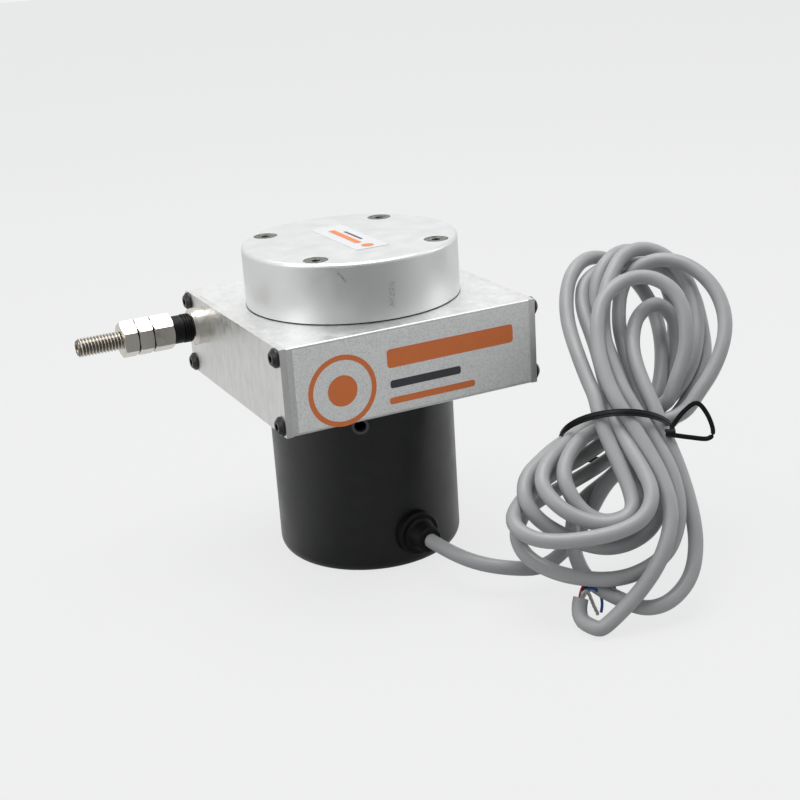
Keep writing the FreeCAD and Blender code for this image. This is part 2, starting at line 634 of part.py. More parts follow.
outlet_nut = hex_piece("outlet_nut", "outlet_nut_flats", "outlet_nut_thick", "outlet_neck_dia + 2 * thread_gap",
                       False)
on_wire(outlet_nut, "-plate_thick - outlet_nut_thick")
flats_up = Placement(Vector(0, 0, 0), Rotation(Vector(0, 0, 1), 30))
outlet_nut.Placement = outlet_nut.Placement.multiply(flats_up)
keep(outlet_nut)

# Rubber buffer with three thin lips against the outlet
LIP = "buffer_lip_dia / 2"
VALLEY = "buffer_dia / 2 - 0.35"
buffer_profile = [("wire_dia / 2 + fit_gap", "0")]
for lip_index in range(3):
    foot = 0.85 * lip_index
    buffer_profile += [(LIP, str(foot)), (LIP, str(foot + 0.4)), (VALLEY, str(foot + 0.4)),
                       (VALLEY, str(foot + 0.85))]
buffer_profile += [("buffer_dia / 2", "2.55"), ("buffer_dia / 2", "buffer_long"),
                   ("wire_dia / 2 + fit_gap", "buffer_long")]
rubber = turned("rubber_buffer", buffer_profile)
on_wire(rubber, "outlet_long + buffer_gap")
keep(rubber)

# Hexagon socket that grips the wire, stud screwed into it and two nuts
socket = hex_piece("wire_socket", "hex_flats", "socket_long", "wire_dia + 2 * fit_gap")
stud_seat = sketch_on(socket, "stud_seat", "XY_Plane", "socket_long")
rings(stud_seat, [("0", "0")], "stud_core + 2 * thread_gap")
cut_down(socket, stud_seat, "stud_in")
on_wire(socket, SOCKET_FOOT)
keep(socket)
NUT_END = "2 * nut_thick + 3 * thread_gap"
stud = turned("threaded_stud", [
    ("0", "-stud_in"), ("stud_core / 2", "-stud_in"), ("stud_core / 2", NUT_END), ("stud_dia / 2", NUT_END),
    ("stud_dia / 2", "2 * nut_thick + stud_out - 0.6"),
    ("stud_dia / 2 - 0.6", "2 * nut_thick + stud_out"), ("0", "2 * nut_thick + stud_out")])
stud_socket = sketch_on(stud, "stud_socket", "XY_Plane", "2 * nut_thick + stud_out")
hexagon(stud_socket, "stud_key")
cut_down(stud, stud_socket, "stud_key")
on_wire(stud, NUT_FOOT)
keep(stud)
nut = hex_piece("nut", "hex_flats", "nut_thick", "stud_core + 2 * thread_gap")
nut_places = []
for nut_index in range(2):
    reach = size(PLATE_FACE) + size(NUT_FOOT) + size("thread_gap") + nut_index * size("nut_thick + thread_gap")
    spot = Vector(-reach, size("drum_dia / 2"), size(WIRE_LEVEL))
    nut_places.append(Placement(spot, Rotation(Vector(0, 1, 0), -90)))
keep(copies("lock_nuts", nut, nut_places))

# Straight run of the wire from the drum to the socket
wire = rod("draw_wire", "wire_dia", "%s + %s + socket_long - stud_in - 0.1 - run_gap" % (PLATE_FACE, SOCKET_FOOT))
wire.Label = "draw_wire"
wire.Placement = Placement(Vector(-size("run_gap"), 0, 0), Rotation(Vector(0, 1, 0), -90))
bind(wire, "Placement.Base.y", "drum_dia / 2")
bind(wire, "Placement.Base.z", WIRE_LEVEL)
keep(wire)

# Encoder can: deep drawn pot with a hole for the grommet and one to reach the set screw
can = turned("can_pot", [
    ("0", "0"), ("can_dia / 2", "0"), ("can_dia / 2", "can_high"), (CAN_BORE, "can_high"), (CAN_BORE, "can_floor"),
    ("0", "can_floor")])
round_rim(can, "can_dia / 2", "0", "can_edge")
gland_hole = rod("gland_hole", "gland_neck_dia + 2 * fit_gap", "can_dia")
on_can(gland_hole, "gland_angle", "gland_level")
access_hole = rod("access_hole", "access_dia + 2 * fit_gap", "can_dia")
on_can(access_hole, "access_angle", "access_level")
can_one = cut_by("can_with_gland_hole", can, gland_hole)
keep(cut_by("encoder_can", can_one, access_hole))
access = turned("access_ring", [
    ("access_bore_dia / 2", "can_dia / 2 - can_wall - 0.4"), ("access_dia / 2", "can_dia / 2 - can_wall - 0.4"),
    ("access_dia / 2", "can_dia / 2 + 0.25"), ("access_bore_dia / 2", "can_dia / 2 + 0.25")])
on_can(access, "access_angle", "access_level")
keep(access)

# Encoder base under the box and its screws
base = turned("encoder_base", [
    ("base_bore_dia / 2", BASE_FOOT), (CAN_BORE + " - fit_gap", BASE_FOOT), (CAN_BORE + " - fit_gap", FRAME_FOOT),
    ("base_bore_dia / 2", FRAME_FOOT)])
base_holes = sketch_on(base, "base_holes", "XY_Plane")
rings(base_holes, BASE_SPOTS, "plate_hole_dia")
cut_through(base, base_holes)
keep(base)
base_screw = turned("base_screw", [
    ("0", "-1.9"), ("button_dia / 2 - 0.1", "-1.9"), ("button_dia / 2 - 0.1", "0"), ("plate_screw_dia / 2", "0"),
    ("plate_screw_dia / 2", "base_thick + frame_wall - 0.2"), ("0", "base_thick + frame_wall - 0.2")])
base_socket = sketch_on(base_screw, "base_socket", "XY_Plane", "-1.9 + 1.1")
hexagon(base_socket, "button_key")
cut_down(base_screw, base_socket, "1.1")
base_places = []
for across, along in BASE_SPOTS:
    base_places.append(Placement(Vector(size(across), size(along), size(BASE_FOOT)), Rotation()))
keep(copies("encoder_base_screws", base_screw, base_places))
# Hollow hub that clamps on the shaft's foot, with the code disc under it
SPIGOT = "shaft_foot_dia / 2"
DISC_FOOT = DISC_TOP + " - disc_thick"
CLAMP_FOOT = DISC_TOP + " - disc_thick - 1.5"
hub_blank = turned("hub_blank", [
    ("0", CLAMP_FOOT), (SPIGOT, CLAMP_FOOT), (SPIGOT, DISC_TOP), ("shaft_dia / 2 + 1.2", DISC_TOP),
    ("shaft_dia / 2 + 1.2", HUB_FOOT), ("hub_dia / 2", HUB_FOOT), ("hub_dia / 2", HUB_FOOT + " + hub_high"),
    (SPIGOT + " + fit_gap", HUB_FOOT + " + hub_high"), (SPIGOT + " + fit_gap", SHAFT_FOOT + " - 0.2"),
    ("0", SHAFT_FOOT + " - 0.2")])
set_hole = rod("set_hole", "set_screw_dia + 2 * thread_gap", "hub_dia")
on_can(set_hole, "access_angle", "access_level")
keep(cut_by("encoder_hub", hub_blank, set_hole))
set_screw = turned("hub_set_screw", [
    ("0", SPIGOT + " + fit_gap"), ("set_screw_dia / 2", SPIGOT + " + fit_gap"), ("set_screw_dia / 2", "hub_dia / 2"),
    ("0", "hub_dia / 2")])
set_key = sketch_on(set_screw, "set_key", "XY_Plane", "hub_dia / 2")
hexagon(set_key, "set_screw_dia / 2")
cut_down(set_screw, set_key, "1.6")
on_can(set_screw, "access_angle", "access_level")
keep(set_screw)
keep(turned("code_disc", [
    (SPIGOT + " + fit_gap", DISC_FOOT), ("disc_dia / 2", DISC_FOOT), ("disc_dia / 2", DISC_TOP),
    (SPIGOT + " + fit_gap", DISC_TOP)]))
keep(turned("disc_clamp", [
    (SPIGOT + " + fit_gap", CLAMP_FOOT), ("shaft_dia / 2 + 1.6", CLAMP_FOOT), ("shaft_dia / 2 + 1.6", DISC_FOOT),
    (SPIGOT + " + fit_gap", DISC_FOOT)]))

# Circuit board on pillars under the base, with its parts and the read head round the disc's edge
board_pillar = turned("board_pillar", [
    ("0", BOARD_TOP), ("board_pillar_dia / 2", BOARD_TOP), ("board_pillar_dia / 2", BASE_FOOT), ("0", BASE_FOOT)])
keep(copies("board_pillars", board_pillar, around(3, BOARD_CIRCLE, 60.0)))
board = turned("circuit_board", [
    ("3", "board_level"), (BOARD_DIA + " / 2", "board_level"), (BOARD_DIA + " / 2", BOARD_TOP), ("3", BOARD_TOP)])
keep(board)
head = new_body("read_head")
head_side = sketch_on(head, "head_side", "XZ_Plane")
HEAD_FAR = "disc_dia / 2 + head_reach"
HEAD_NEAR = "disc_dia / 2 - head_cover"
HEAD_THROAT = "disc_dia / 2 + head_gap"
outline(head_side, [
    (HEAD_NEAR, BOARD_TOP), (HEAD_FAR, BOARD_TOP), (HEAD_FAR, DISC_TOP + " + 3"), (HEAD_NEAR, DISC_TOP + " + 3"),
    (HEAD_NEAR, DISC_TOP + " + head_gap"), (HEAD_THROAT, DISC_TOP + " + head_gap"), (HEAD_THROAT, DISC_FOOT + " - head_gap"),
    (HEAD_NEAR, DISC_FOOT + " - head_gap")])
pad(head, head_side, "head_wide", True)
keep(head)
CHIPS = ((-9, -11, 7, 7, 1.2), (4, -14, 9, 6, 1.6), (-15, 5, 6, 4, 1.4), (-4, 10, 8, 5, 1.2), (8, 12, 3, 2, 0.9),
         (-3, -18, 3, 1.6, 0.8))
chips = doc.addObject("Part::Feature", "board_parts")
chips.Label = "board_parts"
chip_level = size(BOARD_TOP)
chips.Shape = Part.makeCompound([Part.makeBox(long_side, wide_side, high_side, Vector(x, y, chip_level))
                                 for x, y, long_side, wide_side, high_side in CHIPS])
keep(chips)

# Cable grommet in the can's wall
GLAND_NECK = "gland_neck_dia / 2"
CAN_FACE = "can_dia / 2"
gland_blank = turned("gland_blank", [
    ("cable_dia / 2 + fit_gap", CAN_BORE + " - 2.2"), ("gland_neck_dia / 2 + 1", CAN_BORE + " - 2.2"),
    ("gland_neck_dia / 2 + 1", CAN_BORE + " - 0.9"), (GLAND_NECK, CAN_BORE + " - 0.9"), (GLAND_NECK, CAN_FACE + " - 1"),
    ("gland_dia / 2", CAN_FACE + " - 1"), ("gland_dia / 2", CAN_FACE + " + gland_lip"),
    ("gland_root_dia / 2 + 0.8", CAN_FACE + " + gland_lip"), ("gland_root_dia / 2", CAN_FACE + " + gland_lip + 0.8"),
    ("gland_tip_dia / 2", CAN_FACE + " + gland_reach"), ("cable_dia / 2 + fit_gap", CAN_FACE + " + gland_reach")])
bevel_rim(gland_blank, "gland_dia / 2", CAN_FACE + " + gland_lip", "gland_lip / 4")
bevel_rim(gland_blank, "gland_tip_dia / 2", CAN_FACE + " + gland_reach", "0.5")
on_can(gland_blank, "gland_angle", "gland_level")
can_wall_tool = turned("can_wall_tool", [
    (CAN_BORE + " - fit_gap", "0"), ("can_dia / 2 + fit_gap", "0"), ("can_dia / 2 + fit_gap", "can_high"),
    (CAN_BORE + " - fit_gap", "can_high")])
neck_core = rod("neck_core", "gland_neck_dia", "can_dia")
on_can(neck_core, "gland_angle", "gland_level")
wall_round_neck = cut_by("wall_round_neck", can_wall_tool, neck_core)
keep(cut_by("cable_grommet", gland_blank, wall_round_neck))
tail = rod("cable_tail", "cable_dia", "can_wall + gland_reach + tail_inside")
tail.Label = "cable_tail"
on_can(tail, "gland_angle", "gland_level")
tail_start = size(CAN_BORE + " - tail_inside")
tail.Placement = tail.Placement.multiply(Placement(Vector(0, 0, tail_start), Rotation()))
keep(tail)

# Signal cable: straight runs joined by arcs that touch them
gland_turn = math.radians(size("gland_angle"))
gland_out = Vector(math.cos(gland_turn), math.sin(gland_turn), 0)
CABLE_START = gland_out * (size("can_dia / 2") + size("gland_reach")) + Vector(0, 0, size("gland_level"))
CABLE_POINTS = [CABLE_START, CABLE_START + gland_out * 11, Vector(8.8, -56.5, 10.1), Vector(16.5, -62, 8.6),
                Vector(26.5, -63.6, 6.6), Vector(36.5, -61.5, 9.5), Vector(43.5, -62, 18), Vector(49, -62.5, 27)]


def rounded_path(points):
    """Runs between the points with an arc at each inner point, as large as its two runs allow."""
    edges = []
    last = points[0]
    for index in range(1, len(points) - 1):
        into = points[index] - points[index - 1]
        out = points[index + 1] - points[index]
        turn = into.getAngle(out)
        setback = 0.45 * min(into.Length, out.Length)
        radius = setback / math.tan(turn / 2)
        into.normalize()
        out.normalize()
        begin = points[index] - into * setback
        end = points[index] + out * setback
        towards = (end - points[index]) + (begin - points[index])
        towards.normalize()
        centre = points[index] + towards * (radius / math.cos(turn / 2))
        middle = centre - towards * radius
        edges.append(Part.LineSegment(last, begin).toShape())
        edges.append(Part.Arc(begin, middle, end).toShape())
        print("cable turn %d: %.0f degrees, radius %.1f" % (index, math.degrees(turn), radius))
        last = end
    edges.append(Part.LineSegment(last, points[-1]).toShape())
    return Part.Wire(edges)


cable_path = rounded_path(CABLE_POINTS)
cable_circle = Part.makeCircle(size("cable_dia / 2"), CABLE_POINTS[0], CABLE_POINTS[1] - CABLE_POINTS[0])
cable_ring = Part.Wire([cable_circle])
cable = doc.addObject("Part::Feature", "signal_cable")
cable.Label = "signal_cable"
cable.Shape = cable_path.makePipeShell([cable_ring], True, False)
expected = math.pi * size("cable_dia / 2") ** 2 * cable_path.Length
print("cable volume %.1f, section times length %.1f" % (cable.Shape.Volume, expected))
keep(cable)

# Hank of the cable: the outer shape of its turns, which lean back from the foot
HANK_WAIST = Vector(54.9, -64, 42.3)
HANK_AXIS = Vector(0.3538, 0.6084, 0.7104)
HANK_ACROSS = Vector(0.8925, -0.4468, -0.0619)
HANK_BACK = Vector(0.2797, 0.656, -0.701)
HANK = ((-53, 0.5, -0.5, 7, 4), (-48, 0.9, -1.4, 16, 6.5), (-36, -5.6, -4.4, 25.2, 12.3), (-24, -6.6, -3, 26, 15),
        (-12, -4.9, -0.5, 21.6, 16), (-4, 2, 0.6, 13.4, 15.6), (-1, 4, 0.7, 12.4, 15.5), (4, 6.3, 0.8, 14.9, 15.5),
        (12, 7.7, 0.6, 19.1, 15.5), (24, 8.6, 0.1, 23.3, 15.9), (36, 8.3, -0.3, 24.5, 15.9), (48, 7, 1.3, 22.4, 12.8),
        (56, 5.1, 1.3, 17.2, 10.5), (62, 5.3, 1.6, 13, 7.5))


def oval(along, across, back, half_across, half_back):
    """A sixteen-sided oval round a point of the hank."""
    corners = []
    for index in range(17):
        angle = math.pi * index / 8
        corners.append(HANK_WAIST + HANK_AXIS * along + HANK_ACROSS * (across + half_across * math.cos(angle))
                       + HANK_BACK * (back + half_back * math.sin(angle)))
    return Part.makePolygon(corners)


hank = doc.addObject("Part::Feature", "cable_hank")
hank.Label = "cable_hank"
hank.Shape = Part.makeLoft([oval(*ring) for ring in HANK], True, True)
keep(hank)

# Twist tie round the waist of the hank
waist = HANK[6]
tie_wide = size("tie_wide")
tie_thick = size("tie_thick")


def tie_block(extra):
    low = oval(waist[0] - tie_wide / 2, waist[1], waist[2], waist[3] + extra, waist[4] + extra)
    high = oval(waist[0] + tie_wide / 2, waist[1], waist[2], waist[3] + extra, waist[4] + extra)
    return Part.makeLoft([low, high], True, True)


tie = doc.addObject("Part::Feature", "twist_tie")
tie.Label = "twist_tie"
tie.Shape = tie_block(tie_thick + 0.6).cut(tie_block(0.6))
keep(tie)

# Bare conductors at the cable's free end
leads = doc.addObject("Part::Feature", "stripped_leads")
leads.Label = "stripped_leads"
leads.Shape = Part.makeCylinder(1.6, 9, Vector(33.8, -93.4, 6.8), Vector(-0.35, -0.85, -0.3))
keep(leads)

# Check and write every piece
doc.recompute()
for item in doc.Objects:
    if "Invalid" in item.State or "Error" in item.State:
        raise RuntimeError("%s is in state %s" % (item.Name, item.State))
for label, item in nodes.items():
    if item.Shape.isNull() or not item.Shape.isValid() or not item.Shape.Solids:
        raise RuntimeError("%s has no valid solid" % label)
    item.Shape.exportStep("parts/%s.step" % label)
print("%d pieces written" % len(nodes))
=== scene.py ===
import math

import bmesh
import bpy
from mathutils import Matrix, Vector


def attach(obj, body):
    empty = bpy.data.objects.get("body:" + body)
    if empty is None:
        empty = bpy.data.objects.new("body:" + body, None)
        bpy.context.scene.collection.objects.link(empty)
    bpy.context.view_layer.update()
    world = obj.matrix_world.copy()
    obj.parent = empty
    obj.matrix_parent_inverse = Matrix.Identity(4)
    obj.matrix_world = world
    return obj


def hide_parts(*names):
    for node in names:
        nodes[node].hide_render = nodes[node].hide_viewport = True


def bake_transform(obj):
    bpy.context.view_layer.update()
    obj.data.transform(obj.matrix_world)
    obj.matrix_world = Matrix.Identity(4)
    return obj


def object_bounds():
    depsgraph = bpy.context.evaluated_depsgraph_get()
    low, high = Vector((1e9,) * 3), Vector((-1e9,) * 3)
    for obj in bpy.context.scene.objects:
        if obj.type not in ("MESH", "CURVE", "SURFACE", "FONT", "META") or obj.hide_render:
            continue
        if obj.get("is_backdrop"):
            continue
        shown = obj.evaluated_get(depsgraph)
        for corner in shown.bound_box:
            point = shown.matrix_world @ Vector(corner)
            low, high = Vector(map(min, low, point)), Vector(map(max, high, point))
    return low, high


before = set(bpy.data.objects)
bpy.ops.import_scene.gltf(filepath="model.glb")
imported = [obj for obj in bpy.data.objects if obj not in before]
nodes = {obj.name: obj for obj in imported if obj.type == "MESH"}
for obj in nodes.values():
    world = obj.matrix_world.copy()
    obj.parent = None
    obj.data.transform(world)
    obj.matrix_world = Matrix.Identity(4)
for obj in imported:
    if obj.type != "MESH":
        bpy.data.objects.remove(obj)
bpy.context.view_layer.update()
scene = bpy.context.scene

# Camera at the photograph's place
camera_data = bpy.data.cameras.new("camera")
camera_data.sensor_width = 36
camera_data.lens = 66.3
camera_data.clip_start = 0.01
camera = bpy.data.objects.new("camera", camera_data)
scene.collection.objects.link(camera)
camera.matrix_world = Matrix((
    (0.892513, 0.201193, -0.403660, -0.177236),
    (-0.446756, 0.271580, -0.852440, -0.402915),
    (-0.061879, 0.941151, 0.332273, 0.201010),
    (0, 0, 0, 1)))
scene.camera = camera


# Small helpers
def millimetres(points):
    return [Vector(point) / 1000 for point in points]


def link(name, data, material=None, body="housing"):
    piece = bpy.data.objects.new(name, data)
    scene.collection.objects.link(piece)
    if material:
        data.materials.append(material)
    if body:
        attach(piece, body)
    return piece


def mesh_piece(name, points, faces, material, body="housing", smooth=True):
    data = bpy.data.meshes.new(name)
    data.from_pydata([tuple(point) for point in points], [], faces)
    if smooth:
        data.polygons.foreach_set("use_smooth", [True] * len(data.polygons))
    data.update()
    return link(name, data, material, body)


def smooth_line(name, points, radius, material, body="housing", resolution=6):
    """A round cord or wire on one smooth spline."""
    data = bpy.data.curves.new(name, "CURVE")
    data.dimensions = "3D"
    data.resolution_u = resolution
    data.bevel_depth = radius
    data.bevel_resolution = 5
    data.use_fill_caps = True
    spline = data.splines.new("NURBS")
    spline.points.add(len(points) - 1)
    for control, point in zip(spline.points, points):
        control.co = (*point, 1)
    spline.order_u = 3
    spline.use_endpoint_u = True
    return link(name, data, material, body)


def tube_faces(rows, sides):
    """Four-sided faces between rings of points that follow one another."""
    return [(row * sides + side, row * sides + (side + 1) % sides, (row + 1) * sides + (side + 1) % sides,
             (row + 1) * sides + side) for row in range(rows) for side in range(sides)]


# Centreline of the cable in millimetres: the free run from the gland, then the turns of the hank
ROUTE = (
    (3.2, -37.1, 11.5), (4.2, -48.0, 11.5), (8.8, -56.5, 10.1), (16.5, -62.0, 8.6), (26.5, -63.6, 6.6),
    (36.5, -61.5, 9.5), (43.5, -62.0, 18.0), (49.0, -62.5, 27.0), (52.3, -67.7, 34.3), (60.4, -65.8, 37.4),
    (67.6, -65.2, 41.3), (75.9, -64.3, 45.5), (81.3, -62.5, 50.2), (86.3, -60.8, 55.2), (89.9, -57.9, 60.1),
    (92.1, -53.6, 65.2), (93.9, -49.4, 69.5), (95.5, -44.8, 74.0), (95.2, -40.5, 77.6), (93.1, -35.9, 80.8),
    (89.1, -32.2, 82.7), (83.9, -29.4, 83.6), (77.9, -27.5, 83.7), (72.2, -27.7, 82.4), (67.4, -28.8, 81.1),
    (63.5, -31.1, 78.8), (60.8, -34.7, 75.5), (59.3, -38.7, 72.0), (58.5, -43.0, 68.4), (57.3, -47.9, 64.2),
    (55.6, -52.8, 60.3), (53.5, -57.8, 57.0), (51.5, -63.9, 53.3), (48.2, -68.6, 50.6), (47.9, -76.8, 45.4),
    (47.5, -84.9, 40.5), (46.4, -90.9, 36.6), (43.6, -94.0, 33.1), (38.8, -95.1, 30.0), (32.2, -93.7, 28.1),
    (26.2, -91.0, 27.1), (19.9, -87.6, 26.4), (14.6, -83.4, 26.3), (11.5, -78.7, 27.3), (11.2, -73.1, 29.0),
    (15.5, -68.3, 30.7), (21.7, -64.4, 31.8), (29.6, -60.7, 33.4), (37.1, -58.7, 34.4), (43.8, -57.6, 35.3),
    (51.4, -56.6, 37.5), (58.5, -56.4, 40.1), (65.5, -56.9, 43.4), (71.3, -56.9, 47.5), (74.5, -55.3, 51.1),
    (78.0, -51.8, 55.1), (81.6, -47.1, 59.2), (84.6, -42.0, 63.4), (86.7, -36.5, 67.9), (87.3, -31.5, 72.5),
    (85.7, -27.4, 77.0), (82.8, -24.8, 80.9), (78.3, -23.4, 84.1), (73.0, -23.5, 85.9), (67.2, -25.0, 85.7),
    (61.7, -27.8, 83.1), (57.8, -31.3, 79.8), (54.7, -35.4, 76.1), (52.4, -39.7, 72.4), (50.7, -44.5, 68.9),
    (49.3, -49.5, 65.4), (48.1, -54.5, 61.9), (47.1, -59.1, 58.7), (46.4, -63.2, 56.0), (44.2, -69.0, 50.5),
    (43.7, -75.2, 44.6), (43.3, -81.0, 39.3), (42.6, -86.1, 34.8), (41.0, -89.5, 31.6), (36.8, -90.6, 29.5),
    (31.6, -89.1, 29.1), (27.3, -86.2, 30.2), (23.6, -81.9, 32.2), (21.7, -77.1, 34.9), (21.7, -72.3, 37.7),
    (24.7, -68.5, 40.1), (30.2, -65.3, 42.3), (36.6, -62.4, 43.6), (42.3, -59.8, 44.3), (49.7, -58.6, 45.7),
    (56.3, -58.8, 47.2), (62.8, -60.0, 47.7), (68.4, -62.0, 46.6), (73.4, -61.7, 49.1), (78.6, -61.5, 53.3),
    (83.0, -60.4, 58.1), (86.5, -58.0, 63.2), (89.4, -54.8, 68.3), (91.5, -50.9, 72.9), (92.9, -46.5, 77.3),
    (92.9, -41.8, 81.4), (91.1, -37.2, 85.5), (87.0, -34.2, 88.1), (81.7, -33.1, 88.8), (76.0, -33.9, 87.4),
    (71.2, -36.4, 84.2), (67.1, -39.0, 80.7), (63.6, -42.3, 76.5), (60.6, -46.3, 72.0), (58.5, -50.4, 68.0),
    (57.0, -54.9, 64.0), (56.2, -59.7, 59.9), (55.6, -64.1, 56.3), (55.8, -68.2, 52.9), (56.2, -71.6, 49.8),
    (57.1, -78.1, 44.1), (57.4, -83.4, 39.3), (56.6, -88.2, 34.3), (54.8, -92.2, 28.7), (51.9, -94.5, 23.4),
    (48.3, -95.5, 18.7), (43.1, -94.9, 15.5), (36.9, -93.6, 13.6), (30.8, -91.4, 13.2), (25.4, -88.4, 13.8),
    (20.3, -84.8, 14.9), (16.2, -80.4, 16.7), (13.9, -75.4, 18.8), (14.3, -70.4, 21.1), (16.9, -66.0, 23.2),
    (21.5, -62.2, 25.4), (27.1, -59.7, 26.4), (34.3, -58.3, 27.5), (41.5, -57.5, 28.7), (48.6, -57.3, 30.6),
    (55.1, -57.2, 32.9), (60.8, -57.1, 35.6), (67.2, -57.0, 39.2), (72.6, -56.1, 43.2), (77.3, -54.5, 47.8),
    (81.1, -53.3, 52.2), (84.0, -51.5, 57.3), (85.8, -49.8, 62.6), (86.0, -48.0, 67.9), (83.9, -46.6, 72.0),
    (80.7, -45.7, 74.3), (76.2, -46.3, 73.8), (71.5, -48.1, 71.6), (68.0, -51.2, 68.5), (65.3, -54.9, 64.9),
    (63.7, -59.4, 60.8), (62.8, -63.7, 57.2), (62.3, -67.7, 53.9), (61.9, -71.6, 50.4), (61.6, -73.8, 47.6),
    (61.4, -80.3, 40.4), (61.4, -84.1, 35.2), (60.9, -88.3, 29.3), (59.7, -92.6, 23.1), (57.8, -95.9, 17.6),
    (54.1, -99.1, 12.1), (49.0, -100.7, 8.3), (43.0, -101.0, 5.9), (37.3, -98.8, 5.5), (33.6, -94.2, 7.3),
    (30.6, -89.1, 8.9), (29.1, -83.1, 10.7), (30.1, -76.8, 13.2), (32.6, -70.6, 16.4), (35.9, -65.5, 19.3),
    (40.1, -61.5, 21.7), (45.3, -58.8, 23.5), (51.5, -57.8, 25.4), (57.3, -57.1, 27.8), (62.9, -55.7, 31.2),
    (69.1, -53.5, 35.9), (74.4, -52.0, 40.0), (80.6, -48.2, 46.7), (84.6, -46.3, 50.4), (88.6, -43.0, 55.1),
    (91.7, -39.7, 59.8), (94.0, -36.7, 64.9), (95.0, -34.0, 69.8), (94.7, -31.2, 75.0), (92.8, -28.9, 80.0),
    (88.8, -27.6, 84.3), (83.3, -27.6, 87.3), (77.1, -29.1, 87.2), (72.2, -30.9, 85.4), (68.5, -32.6, 82.5),
    (65.9, -34.7, 78.6), (64.1, -37.2, 74.3), (63.2, -40.3, 70.1), (62.5, -44.1, 66.1), (61.6, -48.5, 62.2),
    (60.8, -53.3, 58.6), (59.2, -58.5, 54.9), (58.6, -64.6, 50.7), (52.0, -63.9, 50.0), (51.8, -71.2, 43.9),
    (50.2, -77.0, 38.7), (48.9, -81.9, 34.4), (45.8, -85.8, 30.4), (40.4, -86.7, 28.1), (34.8, -85.8, 27.7),
    (30.9, -83.7, 29.2), (28.6, -80.6, 32.0), (27.8, -77.7, 35.1), (28.0, -74.3, 38.3), (30.3, -70.9, 41.0),
    (34.8, -67.6, 43.4), (40.8, -64.4, 45.1), (47.5, -62.6, 45.6), (53.8, -63.5, 44.5), (60.4, -65.3, 44.0),
    (66.8, -67.4, 45.3), (73.2, -70.2, 47.4), (78.0, -69.9, 52.5), (82.6, -69.8, 57.2), (87.1, -68.4, 62.3),
    (90.8, -66.1, 67.3), (93.4, -62.7, 72.2), (94.6, -57.8, 77.4), (93.9, -52.8, 81.5), (91.8, -47.5, 84.6),
    (88.3, -42.8, 86.2), (84.3, -39.2, 86.0), (80.4, -36.6, 83.9), (77.0, -35.2, 80.8), (74.2, -36.0, 76.7),
    (71.5, -38.8, 72.1), (69.1, -42.5, 67.8), (67.3, -47.1, 63.8), (65.5, -52.0, 59.7), (64.4, -56.8, 56.3),
    (63.1, -61.6, 52.8), (62.3, -65.9, 49.6), (60.9, -71.8, 43.9), (59.1, -77.1, 38.2), (56.6, -81.4, 32.9),
    (53.5, -85.3, 27.4), (48.7, -87.6, 22.9), (41.7, -87.8, 20.3), (34.4, -86.3, 19.8), (28.4, -83.1, 21.6),
    (23.8, -79.8, 24.3), (19.5, -76.3, 27.6), (17.2, -73.1, 31.2), (17.4, -69.4, 34.7), (20.9, -65.4, 38.1),
    (27.1, -62.6, 40.0), (34.0, -59.3, 41.4), (41.6, -56.4, 42.2), (48.2, -54.3, 43.1), (56.0, -54.7, 44.3),
    (62.1, -56.7, 46.0), (66.6, -60.7, 47.9), (70.0, -65.8, 49.4), (73.0, -65.3, 55.2), (76.2, -64.6, 60.6),
    (78.4, -63.7, 65.7), (79.9, -61.8, 70.9), (80.8, -59.3, 75.5), (80.4, -55.6, 79.9), (78.1, -51.6, 83.1),
    (74.0, -48.3, 84.6), (68.8, -46.6, 84.0), (63.3, -46.6, 81.7), (58.9, -48.0, 78.7), (55.8, -50.7, 74.9),
    (53.5, -54.0, 70.7), (51.7, -57.5, 66.6), (50.6, -61.5, 62.4), (50.1, -65.2, 58.8), (50.1, -69.8, 54.5),
    (50.9, -73.4, 51.3), (51.6, -79.4, 45.8), (51.9, -86.0, 40.0), (51.2, -91.9, 34.3), (49.4, -95.8, 29.1),
    (45.8, -98.5, 23.2), (41.2, -99.6, 17.1), (35.5, -99.3, 11.0), (30.3, -98.1, 6.1), (25.2, -97.3, 2.3),
    (23.1, -96.6, 2.4), (21.3, -89.5, 3.2), (24.0, -87.9, 8.0),
)

# The wire's line, and where the socket and its two nuts meet on it
WIRE_Y = 23.875
WIRE_Z = 73.9
NUT_JOINTS = (-58.61, -63.43)

# The twist tie in millimetres: the band's middle and half widths in its own plane, the free loop and the knot
TIE_CENTRE = (-1.4, 1.0)
TIE_HALF = (16.8, 17.8)
TIE_LOOP = ((60.8, -78.8, 46.1), (66.3, -81.9, 44.9), (70.6, -84.2, 44.3), (72.4, -84.3, 46.2), (71.9, -82.3, 50.8),
            (70, -79.9, 54), (66.3, -79, 52.2), (62.3, -78.8, 48.5), (61, -79, 46.6))
TIE_KNOT = (61.2, -79.2, 46.6)


